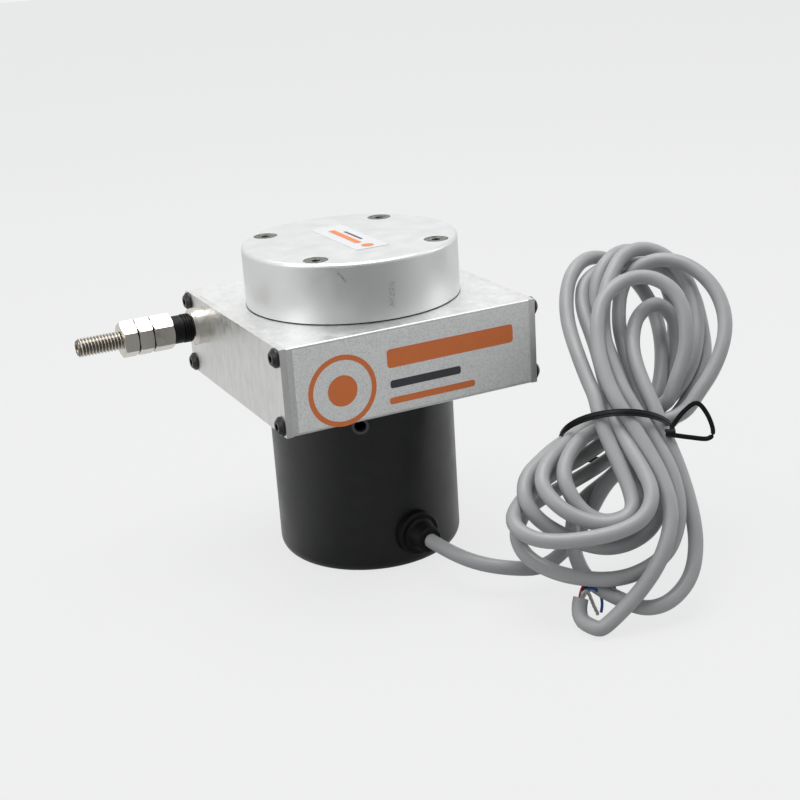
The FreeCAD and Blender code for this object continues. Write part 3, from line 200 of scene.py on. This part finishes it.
# Materials
class Shader:
    """A Principled material with its nodes, built up by short calls."""

    def __init__(self, name, color, roughness, metallic=0.0):
        self.material = bpy.data.materials.new(name)
        self.material.use_nodes = True
        self.tree = self.material.node_tree
        self.main = self.tree.nodes["Principled BSDF"]
        self.place = self.add("ShaderNodeTexCoord").outputs["Object"]
        self.main.inputs["Base Color"].default_value = (*color, 1)
        self.main.inputs["Roughness"].default_value = roughness
        self.main.inputs["Metallic"].default_value = metallic
        self.color = color
        self.normal = None

    def add(self, kind):
        return self.tree.nodes.new(kind)

    def join(self, source, target):
        self.tree.links.new(source, target)

    def stretched(self, stretch):
        mapping = self.add("ShaderNodeMapping")
        mapping.inputs["Scale"].default_value = stretch
        self.join(self.place, mapping.inputs["Vector"])
        return mapping.outputs["Vector"]

    def noise(self, scale, detail=3.0, stretch=(1, 1, 1), rough=0.5):
        noise = self.add("ShaderNodeTexNoise")
        noise.inputs["Scale"].default_value = scale
        noise.inputs["Detail"].default_value = detail
        noise.inputs["Roughness"].default_value = rough
        self.join(self.stretched(stretch), noise.inputs["Vector"])
        return noise.outputs["Fac"]

    def ranged(self, value, low, high, to_low, to_high):
        spread = self.add("ShaderNodeMapRange")
        for socket, number in zip(("From Min", "From Max", "To Min", "To Max"), (low, high, to_low, to_high)):
            spread.inputs[socket].default_value = number
        self.join(value, spread.inputs["Value"])
        return spread.outputs["Result"]

    def vary_roughness(self, value, low, high):
        self.join(self.ranged(value, 0.3, 0.7, low, high), self.main.inputs["Roughness"])

    def vary_color(self, value, other, low=0.35, high=0.65):
        """Mixes towards another colour by a value, over whatever the colour is now."""
        mix = self.add("ShaderNodeMix")
        mix.data_type = "RGBA"
        self.join(self.ranged(value, low, high, 0, 1), mix.inputs["Factor"])
        current = self.main.inputs["Base Color"]
        if current.is_linked:
            self.join(current.links[0].from_socket, mix.inputs["A"])
        else:
            mix.inputs["A"].default_value = (*self.color, 1)
        mix.inputs["B"].default_value = (*other, 1)
        self.join(mix.outputs["Result"], current)

    def bump(self, value, strength, distance):
        bump = self.add("ShaderNodeBump")
        bump.inputs["Strength"].default_value = strength
        bump.inputs["Distance"].default_value = distance
        self.join(value, bump.inputs["Height"])
        if self.normal is not None:
            self.join(self.normal, bump.inputs["Normal"])
        self.normal = bump.outputs["Normal"]
        self.join(self.normal, self.main.inputs["Normal"])

    def math(self, kind, first, second):
        node = self.add("ShaderNodeMath")
        node.operation = kind
        node.use_clamp = kind == "MULTIPLY"
        for socket, value in zip(node.inputs, (first, second)):
            if isinstance(value, (int, float)):
                socket.default_value = value
            else:
                self.join(value, socket)
        return node.outputs[0]

    def mark(self, centre, direction, length, width):
        """1 on a short rubbed streak round a point of the surface, and 0 away from it."""
        along = Vector(direction).normalized()
        away = self.vector("SUBTRACT", self.place, Vector(centre) / 1000)
        run = self.vector("DOT_PRODUCT", away, along)
        side = self.vector("LENGTH", self.vector("CROSS_PRODUCT", away, along))
        near_end = self.ranged(self.math("ABSOLUTE", run, 0), length / 2000, length / 2600, 0, 1)
        near_line = self.ranged(side, width / 2000, width / 6000, 0, 1)
        patches = self.ranged(self.noise(2600, 4), 0.42, 0.58, 0, 1)
        return self.math("MULTIPLY", self.math("MULTIPLY", near_end, near_line), patches)

    def vector(self, kind, first, second=None):
        node = self.add("ShaderNodeVectorMath")
        node.operation = kind
        self.join(first, node.inputs[0])
        if second is not None:
            node.inputs[1].default_value = second
        return node.outputs["Value" if kind in ("LENGTH", "DOT_PRODUCT") else "Vector"]


def anodised():
    shader = Shader("cap_anodised", (0.78, 0.79, 0.79), 0.4, 1.0)
    shader.vary_roughness(shader.noise(160, 4), 0.36, 0.46)
    shader.vary_color(shader.noise(55, 3), (0.81, 0.82, 0.82), 0.3, 0.7)
    shader.bump(shader.noise(5200, 2), 0.10, 0.00004)
    rubbed = shader.mark((-15.9, -28.9, 95.8), (0.55, -0.3, -0.78), 4.6, 1.1)
    shader.vary_color(rubbed, (0.42, 0.42, 0.41), 0, 1)
    smudged = shader.mark((-2.3, -32.9, 89), (0.06, 0, 1), 8.5, 2.6)
    shader.vary_color(smudged, (0.56, 0.56, 0.53), 0, 1)
    return shader.material


def profile_skin():
    shader = Shader("box_anodised", (0.86, 0.865, 0.86), 0.42, 1.0)
    shader.vary_roughness(shader.noise(240, 4), 0.36, 0.5)
    shader.vary_color(shader.noise(900, 4), (0.76, 0.765, 0.76), 0.4, 0.75)
    shader.bump(shader.noise(2600, 3, (0.5, 1, 1)), 0.22, 0.00006)
    return shader.material


def sawn_plate():
    """A smooth matte face; the sawn edges get their lines from across the plate's thickness."""
    shader = Shader("plate_sawn", (0.80, 0.80, 0.79), 0.42, 1.0)
    shader.vary_roughness(shader.noise(300, 4), 0.36, 0.52)
    shader.vary_color(shader.noise(420, 5, (1, 1, 0.35)), (0.70, 0.70, 0.68), 0.4, 0.8)
    shader.bump(shader.noise(1500, 4, (0.2, 1.0, 1.6)), 0.3, 0.0001)
    return shader.material


def black_can():
    shader = Shader("can_black", (0.009, 0.0092, 0.0095), 0.34, 0.0)
    shader.vary_roughness(shader.noise(120, 4), 0.28, 0.38)
    shader.vary_color(shader.noise(260, 5), (0.014, 0.014, 0.014), 0.45, 0.8)
    shader.bump(shader.noise(3800, 2), 0.12, 0.00004)
    return shader.material


def black_rubber(name, base, rough, grain):
    shader = Shader(name, base, rough, 0.0)
    shader.main.inputs["Specular IOR Level"].default_value = 0.2
    shader.vary_roughness(shader.noise(500, 3), rough - 0.07, rough + 0.08)
    shader.vary_color(shader.noise(700, 4), tuple(1.6 * part for part in base), 0.5, 0.85)
    shader.bump(shader.noise(grain, 3), 0.2, 0.00005)
    return shader.material


def nickel(cut=False):
    """Nickel plate with painted shade in the joints between the nuts, and with painted shade in the thread roots
    where it is cut.
    """
    shader = Shader("nickel_plate", (0.70, 0.668, 0.615), 0.19, 1.0)
    shader.vary_roughness(shader.noise(420, 4), 0.14, 0.24)
    shader.vary_color(shader.noise(650, 5), (0.80, 0.76, 0.70), 0.55, 0.8)
    shader.bump(shader.noise(900, 2, (0.3, 1, 1)), 0.05, 0.00005)
    if cut:
        # Painted shade: the colour darkens towards the wire's axis, in the roots of the thread.
        middle = shader.vector("SUBTRACT", shader.place, Vector((0, WIRE_Y, WIRE_Z)) / 1000)
        away = shader.vector("LENGTH", shader.vector("MULTIPLY", middle, Vector((0, 1, 1))))
        shader.vary_color(shader.ranged(away, 0.00252, 0.00286, 1, 0), (0.20, 0.17, 0.14), 0, 1)
    # Painted shade in the V-notches where the socket and the two nuts meet.
    for joint in NUT_JOINTS:
        along = shader.vector("DOT_PRODUCT", shader.place, Vector((1, 0, 0)))
        near = shader.math("ABSOLUTE", shader.math("ADD", along, -joint / 1000), 0)
        shader.vary_color(shader.ranged(near, 0.00008, 0.0003, 1, 0), (0.16, 0.13, 0.10), 0, 1)
    return shader.material


def metal(name, base, rough, stretch=(1, 1, 1), strength=0.15):
    shader = Shader(name, base, rough, 1.0)
    shader.vary_roughness(shader.noise(500, 4), rough - 0.08, rough + 0.1)
    shader.vary_color(shader.noise(900, 5), tuple(0.75 * part for part in base), 0.45, 0.75)
    shader.bump(shader.noise(2200, 3, stretch), strength, 0.00006)
    return shader.material


def black_screw():
    shader = Shader("screw_black", (0.012, 0.012, 0.013), 0.34, 0.1)
    shader.vary_roughness(shader.noise(900, 4), 0.26, 0.46)
    shader.vary_color(shader.noise(1500, 5), (0.045, 0.038, 0.034), 0.55, 0.8)
    shader.bump(shader.noise(2600, 3), 0.2, 0.00005)
    return shader.material


def dull_screw():
    shader = Shader("screw_dull", (0.24, 0.24, 0.22), 0.5, 0.8)
    shader.vary_roughness(shader.noise(900, 4), 0.4, 0.65)
    shader.vary_color(shader.noise(1100, 5), (0.10, 0.10, 0.09), 0.45, 0.6)
    shader.bump(shader.noise(2200, 4), 0.35, 0.0001)
    return shader.material


def foil():
    shader = Shader("label_foil", (0.92, 0.92, 0.91), 0.45, 0.3)
    shader.vary_roughness(shader.noise(800, 3), 0.4, 0.52)
    shader.vary_color(shader.noise(2300, 4), (0.66, 0.665, 0.66), 0.45, 0.75)
    shader.bump(shader.noise(3200, 3), 0.22, 0.00005)
    return shader.material


def film(name, base, rough=0.35):
    shader = Shader(name, base, rough, 0.0)
    shader.vary_roughness(shader.noise(600, 3), rough - 0.05, rough + 0.08)
    shader.vary_color(shader.noise(1800, 4), tuple(0.9 * part for part in base), 0.4, 0.75)
    shader.bump(shader.noise(3200, 3), 0.12, 0.00004)
    return shader.material


def sheath():
    shader = Shader("sheath_grey", (0.385, 0.388, 0.392), 0.42, 0.0)
    shader.vary_roughness(shader.noise(260, 4), 0.34, 0.5)
    shader.vary_color(shader.noise(70, 4), (0.345, 0.347, 0.352), 0.4, 0.7)
    shader.bump(shader.noise(1600, 3), 0.08, 0.00006)
    return shader.material


def glass_disc():
    shader = Shader("disc_clear", (0.75, 0.82, 0.80), 0.08, 0.0)
    shader.main.inputs["Transmission Weight"].default_value = 0.7
    shader.main.inputs["Alpha"].default_value = 0.8
    shader.vary_roughness(shader.noise(400, 3), 0.05, 0.14)
    return shader.material


PAINT = {
    "anodised_cap": anodised(), "profile_skin": profile_skin(), "sawn_plate": sawn_plate(),
    "black_screw": black_screw(), "dark_screw": dull_screw(), "black_can": black_can(),
    "dark_ring": black_rubber("ring_dark", (0.085, 0.085, 0.09), 0.42, 1800), "nickel": nickel(),
    "steel": metal("steel_turned", (0.55, 0.55, 0.55), 0.28),
    "bare_aluminium": metal("aluminium_bare", (0.70, 0.70, 0.71), 0.34),
    "spring_steel": metal("steel_strip", (0.26, 0.27, 0.30), 0.3),
    "eyelet": film("eyelet_ceramic", (0.80, 0.79, 0.75), 0.2),
    "black_rubber": black_rubber("rubber_black", (0.006, 0.006, 0.0065), 0.46, 1500), "grey_sheath": sheath(),
    "black_tie": black_rubber("tie_black", (0.006, 0.006, 0.0065), 0.36, 2400),
    "lead_wires": film("lead_blue", (0.03, 0.12, 0.50), 0.3), "silver_foil": foil(),
    "white_label": film("label_white", (0.70, 0.705, 0.71)),
    "green_board": film("board_green", (0.02, 0.16, 0.07), 0.3),
    "black_moulding": black_rubber("moulding_black", (0.026, 0.026, 0.026), 0.45, 1200),
    "disc_glass": glass_disc(),
}
NODE_PAINT = {
    "anodised_cap": ("spring_cap",), "profile_skin": ("frame_profile",),
    "sawn_plate": ("end_plate_left", "end_plate_right"),
    "black_screw": ("end_plate_screws_left", "end_plate_screws_right"), "dark_screw": ("cap_screws",),
    "silver_foil": ("face_label",), "white_label": ("cap_label",), "black_can": ("encoder_can",),
    "dark_ring": ("access_ring",),
    "nickel": ("wire_outlet", "outlet_nut", "wire_socket", "lock_nuts"),
    "eyelet": ("wire_guide",), "black_rubber": ("rubber_buffer", "cable_grommet"),
    "steel": ("bearing_outer_rings", "bearing_inner_rings", "bearing_ball_rows", "drum_shaft", "encoder_base_screws",
              "hub_set_screw", "disc_clamp", "wound_wire", "board_pillars"),
    "bare_aluminium": ("lower_bearing_carrier", "upper_bearing_carrier", "wire_drum", "encoder_base", "encoder_hub",
                       "spring_arbor"),
    "spring_steel": ("main_spring",), "disc_glass": ("code_disc",), "green_board": ("circuit_board",),
    "black_moulding": ("read_head", "board_parts"), "grey_sheath": ("cable_tail",),
}
for paint, names in NODE_PAINT.items():
    for name in names:
        for material_slot in nodes[name].material_slots:
            material_slot.material = PAINT[paint]

# Colours of the small pieces
orange = film("film_orange", (0.80, 0.20, 0.045), 0.42)
slate = film("film_slate", (0.05, 0.05, 0.06), 0.42)
braid_paint = metal("braid_tinned", (0.72, 0.71, 0.66), 0.35)
blue_paint = PAINT["lead_wires"]
black_paint = black_rubber("lead_black", (0.012, 0.012, 0.013), 0.3, 2000)
red_paint = film("lead_red", (0.45, 0.02, 0.02), 0.3)

# Cable from the gland through the whole hank to its stripped end
CABLE_RADIUS = 0.0022
cable = smooth_line("cable", millimetres(ROUTE), CABLE_RADIUS, PAINT["grey_sheath"])
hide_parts("signal_cable", "cable_hank")


def core(name, points, radius, paint):
    wire = smooth_line(name, millimetres(points), radius / 1000, paint)
    return wire


cores = [
    core("core_blue", [(24, -87.9, 7.4), (24.6, -88, 9.6), (26.4, -88.7, 11), (29.3, -89.1, 9.3), (30.2, -89.7, 5.4),
                       (29.2, -90.1, 2.9)], 0.42, blue_paint),
    core("core_black", [(24.3, -87.7, 7.4), (24.8, -87.8, 10), (27.4, -88.4, 12.6), (31.6, -88.7, 12.4),
                        (34, -89.5, 10.4), (34.2, -90.3, 8)], 0.42, black_paint),
    core("core_red", [(23.8, -87.5, 7.4), (24.4, -87, 9.8), (27, -86.6, 12), (30.6, -86.6, 12.4), (33, -87.4, 11)],
         0.42, red_paint),
    core("core_white", [(24.2, -88.2, 7.4), (25.2, -88.4, 9.4), (27.8, -88, 9.8), (31, -88.4, 8.4), (32.4, -89, 6)],
         0.42, film("lead_white", (0.74, 0.74, 0.72), 0.3)),
]
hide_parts("stripped_leads")

# Braid of the screen, three tinned strands wound round each other
BRAID = [Vector(point) for point in ((24, -87.9, 7.4), (24.3, -88.3, 9.6), (25.4, -88.6, 10.2), (26.4, -88.6, 8.6),
                                     (27.3, -89.2, 5.4), (28.3, -89.9, 2.4))]
for strand in range(3):
    turns = []
    for index in range(31):
        along = index / 30 * (len(BRAID) - 1)
        low = min(int(along), len(BRAID) - 2)
        middle = BRAID[low].lerp(BRAID[low + 1], along - low)
        heading = (BRAID[low + 1] - BRAID[low]).normalized()
        side = heading.cross(Vector((0, 1, 0.2))).normalized()
        other = heading.cross(side)
        angle = index * 0.9 + strand * math.tau / 3
        turns.append(middle + 0.3 * (side * math.cos(angle) + other * math.sin(angle)))
    cores.append(core("braid_%d" % strand, turns, 0.26, braid_paint))

# Ribbed ribbon of the twist tie: the band round the waist, and the free loop from its knot
WAIST = Vector((54.9, -64, 42.3))
AXIS = Vector((0.3538, 0.6084, 0.7104))
ACROSS = Vector((0.8925, -0.4468, -0.0619))
BACK = Vector((0.2797, 0.656, -0.701))
RIBS = ((-1.15, 0.0), (-1.0, 0.16), (-0.45, 0.16), (-0.25, 0.42), (0.25, 0.42), (0.45, 0.16), (1.0, 0.16),
        (1.15, 0.0), (1.0, -0.16), (0.25, -0.3), (-0.25, -0.3), (-1.0, -0.16))


def ribbon(name, line, wide, closed=False, share=1.0):
    """The tie's section drawn along a line, with its broad side along `wide` and its size times `share`."""
    points = []
    for index, middle in enumerate(line):
        if closed:
            heading = line[(index + 1) % len(line)] - line[index - 1]
        else:
            heading = line[min(index + 1, len(line) - 1)] - line[max(index - 1, 0)]
        heading.normalize()
        across = (wide[index] - heading * wide[index].dot(heading)).normalized()
        out = heading.cross(across)
        points += [(middle + (across * side + out * rise) * share) / 1000 for side, rise in RIBS]
    ring = len(RIBS)
    spans = len(line) if closed else len(line) - 1
    faces = []
    for index in range(spans):
        here, there = index * ring, (index + 1) % len(line) * ring
        faces += [(here + side, here + (side + 1) % ring, there + (side + 1) % ring, there + side)
                  for side in range(ring)]
    if not closed:
        faces += [tuple(range(ring)), tuple(reversed(range((len(line) - 1) * ring, len(line) * ring)))]
    piece = mesh_piece(name, points, faces, PAINT["black_tie"], smooth=False)
    return piece


BAND_STEPS = 72
band = []
for index in range(BAND_STEPS):
    angle = math.tau * index / BAND_STEPS
    band.append(WAIST + ACROSS * (TIE_CENTRE[0] + TIE_HALF[0] * math.cos(angle))
                + BACK * (TIE_CENTRE[1] + TIE_HALF[1] * math.sin(angle)))
tie_band = ribbon("tie_band", band, [AXIS] * len(band), True)
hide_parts("twist_tie")


def curve_through(points, steps):
    """Points along the smooth curve that passes through the given ones."""
    line = []
    for index in range(len(points) - 1):
        before, start = points[max(index - 1, 0)], points[index]
        end, after = points[index + 1], points[min(index + 2, len(points) - 1)]
        for step in range(steps):
            share = step / steps
            line.append(0.5 * (2 * start + (end - before) * share + (2 * before - 5 * start + 4 * end - after)
                               * share ** 2 + (3 * start - before - 3 * end + after) * share ** 3))
    return line + [points[-1]]


loop = curve_through([Vector(point) for point in TIE_LOOP], 8)
tie_loop = ribbon("tie_loop", loop, [AXIS.lerp(Vector((0.4, -0.9, 0.2)), 0.35)] * len(loop), share=0.6)
KNOT_RADIUS = 0.75
twist = []
for index in range(41):
    angle = index * 0.75
    twist.append(Vector(TIE_KNOT) + ACROSS * (index * 0.06 - 1.2) - BACK * (KNOT_RADIUS * math.sin(angle))
                 + AXIS * (KNOT_RADIUS * math.cos(angle)))
tie_knot = smooth_line("tie_knot", [point / 1000 for point in twist], 0.00045, PAINT["black_tie"])

# Threaded stud with its hexagon socket
STUD_START = -66.0
STUD_TIP = -81.72
STUD_REACH = STUD_START - STUD_TIP
STUD_RADIUS = 2.98
THREAD_DEPTH = 0.5
SIDES = 72
STUD_ROWS = int(STUD_REACH / 0.08)


def round_wire(x, radius, angle):
    """A point beside the wire's line."""
    return (x / 1000, (WIRE_Y + radius * math.cos(angle)) / 1000, (WIRE_Z + radius * math.sin(angle)) / 1000)


def stud_radius(reach, angle):
    """The radius of a thread of 1 mm pitch, with a chamfer at the tip."""
    turn = (reach + angle / math.tau) % 1
    depth = THREAD_DEPTH * min(1, max(0, 1.25 - 2.5 * abs(turn - 0.5)))
    chamfer = max(0, reach - (STUD_REACH - 0.75))
    return min(STUD_RADIUS - depth, STUD_RADIUS - chamfer)


def key_radius(angle, flats):
    """The radius of a hexagon of this size across its flats."""
    sixth = (angle + math.pi / 6) % (math.pi / 3) - math.pi / 6
    return flats / 2 / math.cos(sixth)


stud_points = []
for row in range(STUD_ROWS + 1):
    reach = STUD_REACH * row / STUD_ROWS
    for side in range(SIDES):
        angle = math.tau * side / SIDES
        stud_points.append(round_wire(STUD_START - reach, stud_radius(reach, angle), angle))
for depth, flats in ((0, 2.75), (0.18, 2.5), (2.4, 2.5)):
    for side in range(SIDES):
        angle = math.tau * side / SIDES
        stud_points.append(round_wire(STUD_TIP + depth, key_radius(angle, flats), angle))
stud_points.append(((STUD_TIP + 3.1) / 1000, WIRE_Y / 1000, WIRE_Z / 1000))
stud_faces = tube_faces(STUD_ROWS + 3, SIDES)
for side in range(SIDES):
    stud_faces.append(((STUD_ROWS + 3) * SIDES + side, (STUD_ROWS + 3) * SIDES + (side + 1) % SIDES,
                       len(stud_points) - 1))
stud = mesh_piece("stud_thread", stud_points, stud_faces, nickel(True), "wire_end")
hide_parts("threaded_stud")

# Wire rope between the drum and the socket; the real wire lengthens as it is pulled, this one is drawn at one fixed
# length
ROPE_SIDES = 14
ROPE_ROWS = 220
ROPE_START = -0.3
ROPE_LENGTH = 54.2
rope_points = []
for row in range(ROPE_ROWS + 1):
    reach = ROPE_START - ROPE_LENGTH * row / ROPE_ROWS
    for side in range(ROPE_SIDES):
        angle = math.tau * side / ROPE_SIDES
        radius = 0.36 + 0.035 * math.cos(6 * angle + reach * 2.4)
        rope_points.append(round_wire(reach, radius, angle))
rope_faces = tube_faces(ROPE_ROWS, ROPE_SIDES)
rope_faces += [tuple(reversed(range(ROPE_SIDES))),
               tuple(range(ROPE_ROWS * ROPE_SIDES, (ROPE_ROWS + 1) * ROPE_SIDES))]
rope = mesh_piece("wire_rope", rope_points, rope_faces, PAINT["steel"], None)
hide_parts("draw_wire")
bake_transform(rope)

# Rounded upper edge of the cap, and a thin black ring at its foot as painted shade where the cap meets the box
TURN_STEPS = 192
EDGE_MIDDLE = 31.9
EDGE_LEVEL = 98.4
EDGE_ROUND = 1.104


def turned_strip(name, profile, paint):
    """A strip turned round the cap's axis from pairs of radius and height."""
    points = [(radius * math.cos(math.tau * step / TURN_STEPS) / 1000,
               radius * math.sin(math.tau * step / TURN_STEPS) / 1000, level / 1000)
              for radius, level in profile for step in range(TURN_STEPS)]
    piece = mesh_piece(name, points, tube_faces(len(profile) - 1, TURN_STEPS), PAINT[paint])


edge_profile = [(33.004, 97.9)]
for step in range(9):
    angle = math.radians(step * 11.25)
    edge_profile.append((EDGE_MIDDLE + EDGE_ROUND * math.cos(angle), EDGE_LEVEL + EDGE_ROUND * math.sin(angle)))
turned_strip("cap_edge", edge_profile + [(31.6, 99.504)], "anodised_cap")
# Painted shade: a thin black ring stands for the shadow line in the seam between the cap and the box.
turned_strip("cap_foot_shade_ring", [(32.9, 81.86), (33.06, 81.8), (33.06, 81.52), (32.9, 81.51)], "black_rubber")

# Plain shapes on the two labels
FOIL_FACE = -39.91
BOX_FOOT = 55.5
CAP_LABEL_TOP = 0.09967


def plate(name, outline_points, material, place, holes=()):
    """A thin printed shape from an outline, placed by a function of its two coordinates."""
    data = bmesh.new()
    rings = [[data.verts.new(place(x, y)) for x, y in ring] for ring in (outline_points, *holes)]
    edges = [data.edges.new((ring[index], ring[(index + 1) % len(ring)]))
             for ring in rings for index in range(len(ring))]
    bmesh.ops.triangle_fill(data, edges=edges, use_beauty=True)
    mesh = bpy.data.meshes.new(name)
    data.to_mesh(mesh)
    data.free()
    link(name, mesh, material)


def circle(x, y, radius, steps=72):
    return [(x + radius * math.cos(math.tau * step / steps), y + radius * math.sin(math.tau * step / steps))
            for step in range(steps)]


def rounded(low_x, high_x, low_y, high_y, corner):
    points = []
    for centre_x, centre_y, start in ((high_x - corner, high_y - corner, 0), (low_x + corner, high_y - corner, 90),
                                      (low_x + corner, low_y + corner, 180), (high_x - corner, low_y + corner, 270)):
        for step in range(7):
            angle = math.radians(start + 15 * step)
            points.append((centre_x + corner * math.cos(angle), centre_y + corner * math.sin(angle)))
    return points


def on_foil(x, y):
    return (x / 1000, FOIL_FACE / 1000, (BOX_FOOT + y) / 1000)


def on_cap(x, y):
    return (x / 1000, y / 1000, CAP_LABEL_TOP)


plate("mark_ring", circle(-23, 10.5, 10.6), orange, on_foil, [circle(-23, 10.5, 9.1)])
plate("mark_disc", circle(-23, 10.5, 4.6), orange, on_foil)
plate("mark_bar_long", rounded(-8.6, 33, 14.2, 19.8, 1.1), orange, on_foil)
plate("mark_bar_dark", rounded(-8, 15, 8, 10.4, 0.7), slate, on_foil)
plate("mark_bar_short", rounded(-8.5, 19.5, 3.2, 5.2, 0.7), orange, on_foil)
plate("cap_mark_disc", circle(0, -13.2, 1.9), orange, on_cap)
plate("cap_mark_bar", rounded(-1.9, 0.2, -9, 11.5, 0.5), orange, on_cap)
plate("cap_mark_dark", rounded(1.5, 2.4, -5, 7.5, 0.3), slate, on_cap)

# Pale floor and surroundings. Both keep their full colour for the camera and are darker on the photographer's
# side in mirrored light.
PALE = (0.885, 0.893, 0.887, 1)
PHOTOGRAPHER = (-0.33, -0.94, 0)


def darker_in_front(tree, direction, bright, dark, level=False):
    """A strength that falls towards the side where a photographer stands, with the height left out if level."""
    flat = tree.nodes.new("ShaderNodeVectorMath")
    flat.operation = "MULTIPLY"
    flat.inputs[1].default_value = (1, 1, 0 if level else 1)
    tree.links.new(direction, flat.inputs[0])
    even = tree.nodes.new("ShaderNodeVectorMath")
    even.operation = "NORMALIZE"
    tree.links.new(flat.outputs["Vector"], even.inputs[0])
    facing = tree.nodes.new("ShaderNodeVectorMath")
    facing.operation = "DOT_PRODUCT"
    facing.inputs[1].default_value = PHOTOGRAPHER
    tree.links.new(even.outputs["Vector"], facing.inputs[0])
    spread = tree.nodes.new("ShaderNodeMapRange")
    spread.interpolation_type = "SMOOTHSTEP"
    for socket, number in zip(("From Min", "From Max", "To Min", "To Max"), (0.05, 1.0, bright, dark)):
        spread.inputs[socket].default_value = number
    tree.links.new(facing.outputs["Value"], spread.inputs["Value"])
    return spread.outputs["Result"]


def combined(tree, kind, first, second):
    node = tree.nodes.new("ShaderNodeMath")
    node.operation = kind
    tree.links.new(first, node.inputs[0])
    if isinstance(second, float):
        node.inputs[1].default_value = second
    else:
        tree.links.new(second, node.inputs[1])
    return node.outputs[0]


floor_shader = bpy.data.materials.new("floor_pale")
floor_shader.use_nodes = True
ground = floor_shader.node_tree
ground.nodes.clear()
matte = ground.nodes.new("ShaderNodeBsdfDiffuse")
matte.inputs["Color"].default_value = (0.62, 0.625, 0.62, 1)
glow = ground.nodes.new("ShaderNodeEmission")
glow.inputs["Color"].default_value = PALE
ground_rays = ground.nodes.new("ShaderNodeLightPath")
ground_place = ground.nodes.new("ShaderNodeTexCoord")
ground_mix = ground.nodes.new("ShaderNodeMixShader")
ground_out = ground.nodes.new("ShaderNodeOutputMaterial")
mirrored = darker_in_front(ground, ground_place.outputs["Object"], 0.8, 0.27, True)
strength = combined(ground, "MAXIMUM", ground_rays.outputs["Is Camera Ray"], mirrored)
ground.links.new(strength, glow.inputs["Strength"])
direct = combined(ground, "MAXIMUM", ground_rays.outputs["Is Camera Ray"], ground_rays.outputs["Is Glossy Ray"])
ground.links.new(combined(ground, "MULTIPLY", direct, 0.86), ground_mix.inputs["Fac"])
ground.links.new(matte.outputs[0], ground_mix.inputs[1])
ground.links.new(glow.outputs[0], ground_mix.inputs[2])
ground.links.new(ground_mix.outputs[0], ground_out.inputs["Surface"])
floor_mesh = bpy.data.meshes.new("floor")
floor_mesh.from_pydata([(-3, -3, -0.0002), (3, -3, -0.0002), (3, 3, -0.0002), (-3, 3, -0.0002)], [], [(0, 1, 2, 3)])
floor_mesh.materials.append(floor_shader)
floor = bpy.data.objects.new("floor", floor_mesh)
scene.collection.objects.link(floor)
floor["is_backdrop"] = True

world = bpy.data.worlds.new("studio")
scene.world = world
world.use_nodes = True
sky = world.node_tree
sky.nodes.clear()
sky_shown = sky.nodes.new("ShaderNodeBackground")
sky_shown.inputs["Color"].default_value = PALE
sky_lit = sky.nodes.new("ShaderNodeBackground")
sky_lit.inputs["Color"].default_value = (0.95, 0.97, 1.0, 1)
sky_way = sky.nodes.new("ShaderNodeTexCoord")
sky_rays = sky.nodes.new("ShaderNodeLightPath")
sky_mix = sky.nodes.new("ShaderNodeMixShader")
sky_out = sky.nodes.new("ShaderNodeOutputWorld")
sky.links.new(darker_in_front(sky, sky_way.outputs["Generated"], 0.66, 0.12), sky_lit.inputs["Strength"])
sky_mirrored = darker_in_front(sky, sky_way.outputs["Generated"], 0.95, 0.3)
strength = combined(sky, "MAXIMUM", sky_rays.outputs["Is Camera Ray"], sky_mirrored)
sky.links.new(strength, sky_shown.inputs["Strength"])
direct = combined(sky, "MAXIMUM", sky_rays.outputs["Is Camera Ray"], sky_rays.outputs["Is Glossy Ray"])
direct = combined(sky, "MAXIMUM", direct, sky_rays.outputs["Is Transmission Ray"])
sky.links.new(direct, sky_mix.inputs["Fac"])
sky.links.new(sky_lit.outputs[0], sky_mix.inputs[1])
sky.links.new(sky_shown.outputs[0], sky_mix.inputs[2])
sky.links.new(sky_mix.outputs[0], sky_out.inputs["Surface"])


# Lamps
def lamp(name, place, aim, width, height, watts):
    data = bpy.data.lights.new(name, "AREA")
    data.shape = "RECTANGLE"
    data.size = width
    data.size_y = height
    data.energy = watts
    light = bpy.data.objects.new(name, data)
    scene.collection.objects.link(light)
    light.location = place
    light.rotation_euler = (Vector(aim) - Vector(place)).to_track_quat("-Z", "Y").to_euler()


lamp("lamp_top", (0.0, 0.05, 0.9), (0.02, -0.02, 0.05), 0.7, 0.6, 5.6)
lamp("lamp_left", (-0.8, -0.1, 0.4), (0, 0, 0.07), 0.35, 0.7, 1.1)
lamp("lamp_right", (0.75, -0.2, 0.34), (0.02, -0.03, 0.06), 0.2, 0.6, 0.45)

scene.view_settings.view_transform = "Standard"

low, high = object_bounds()
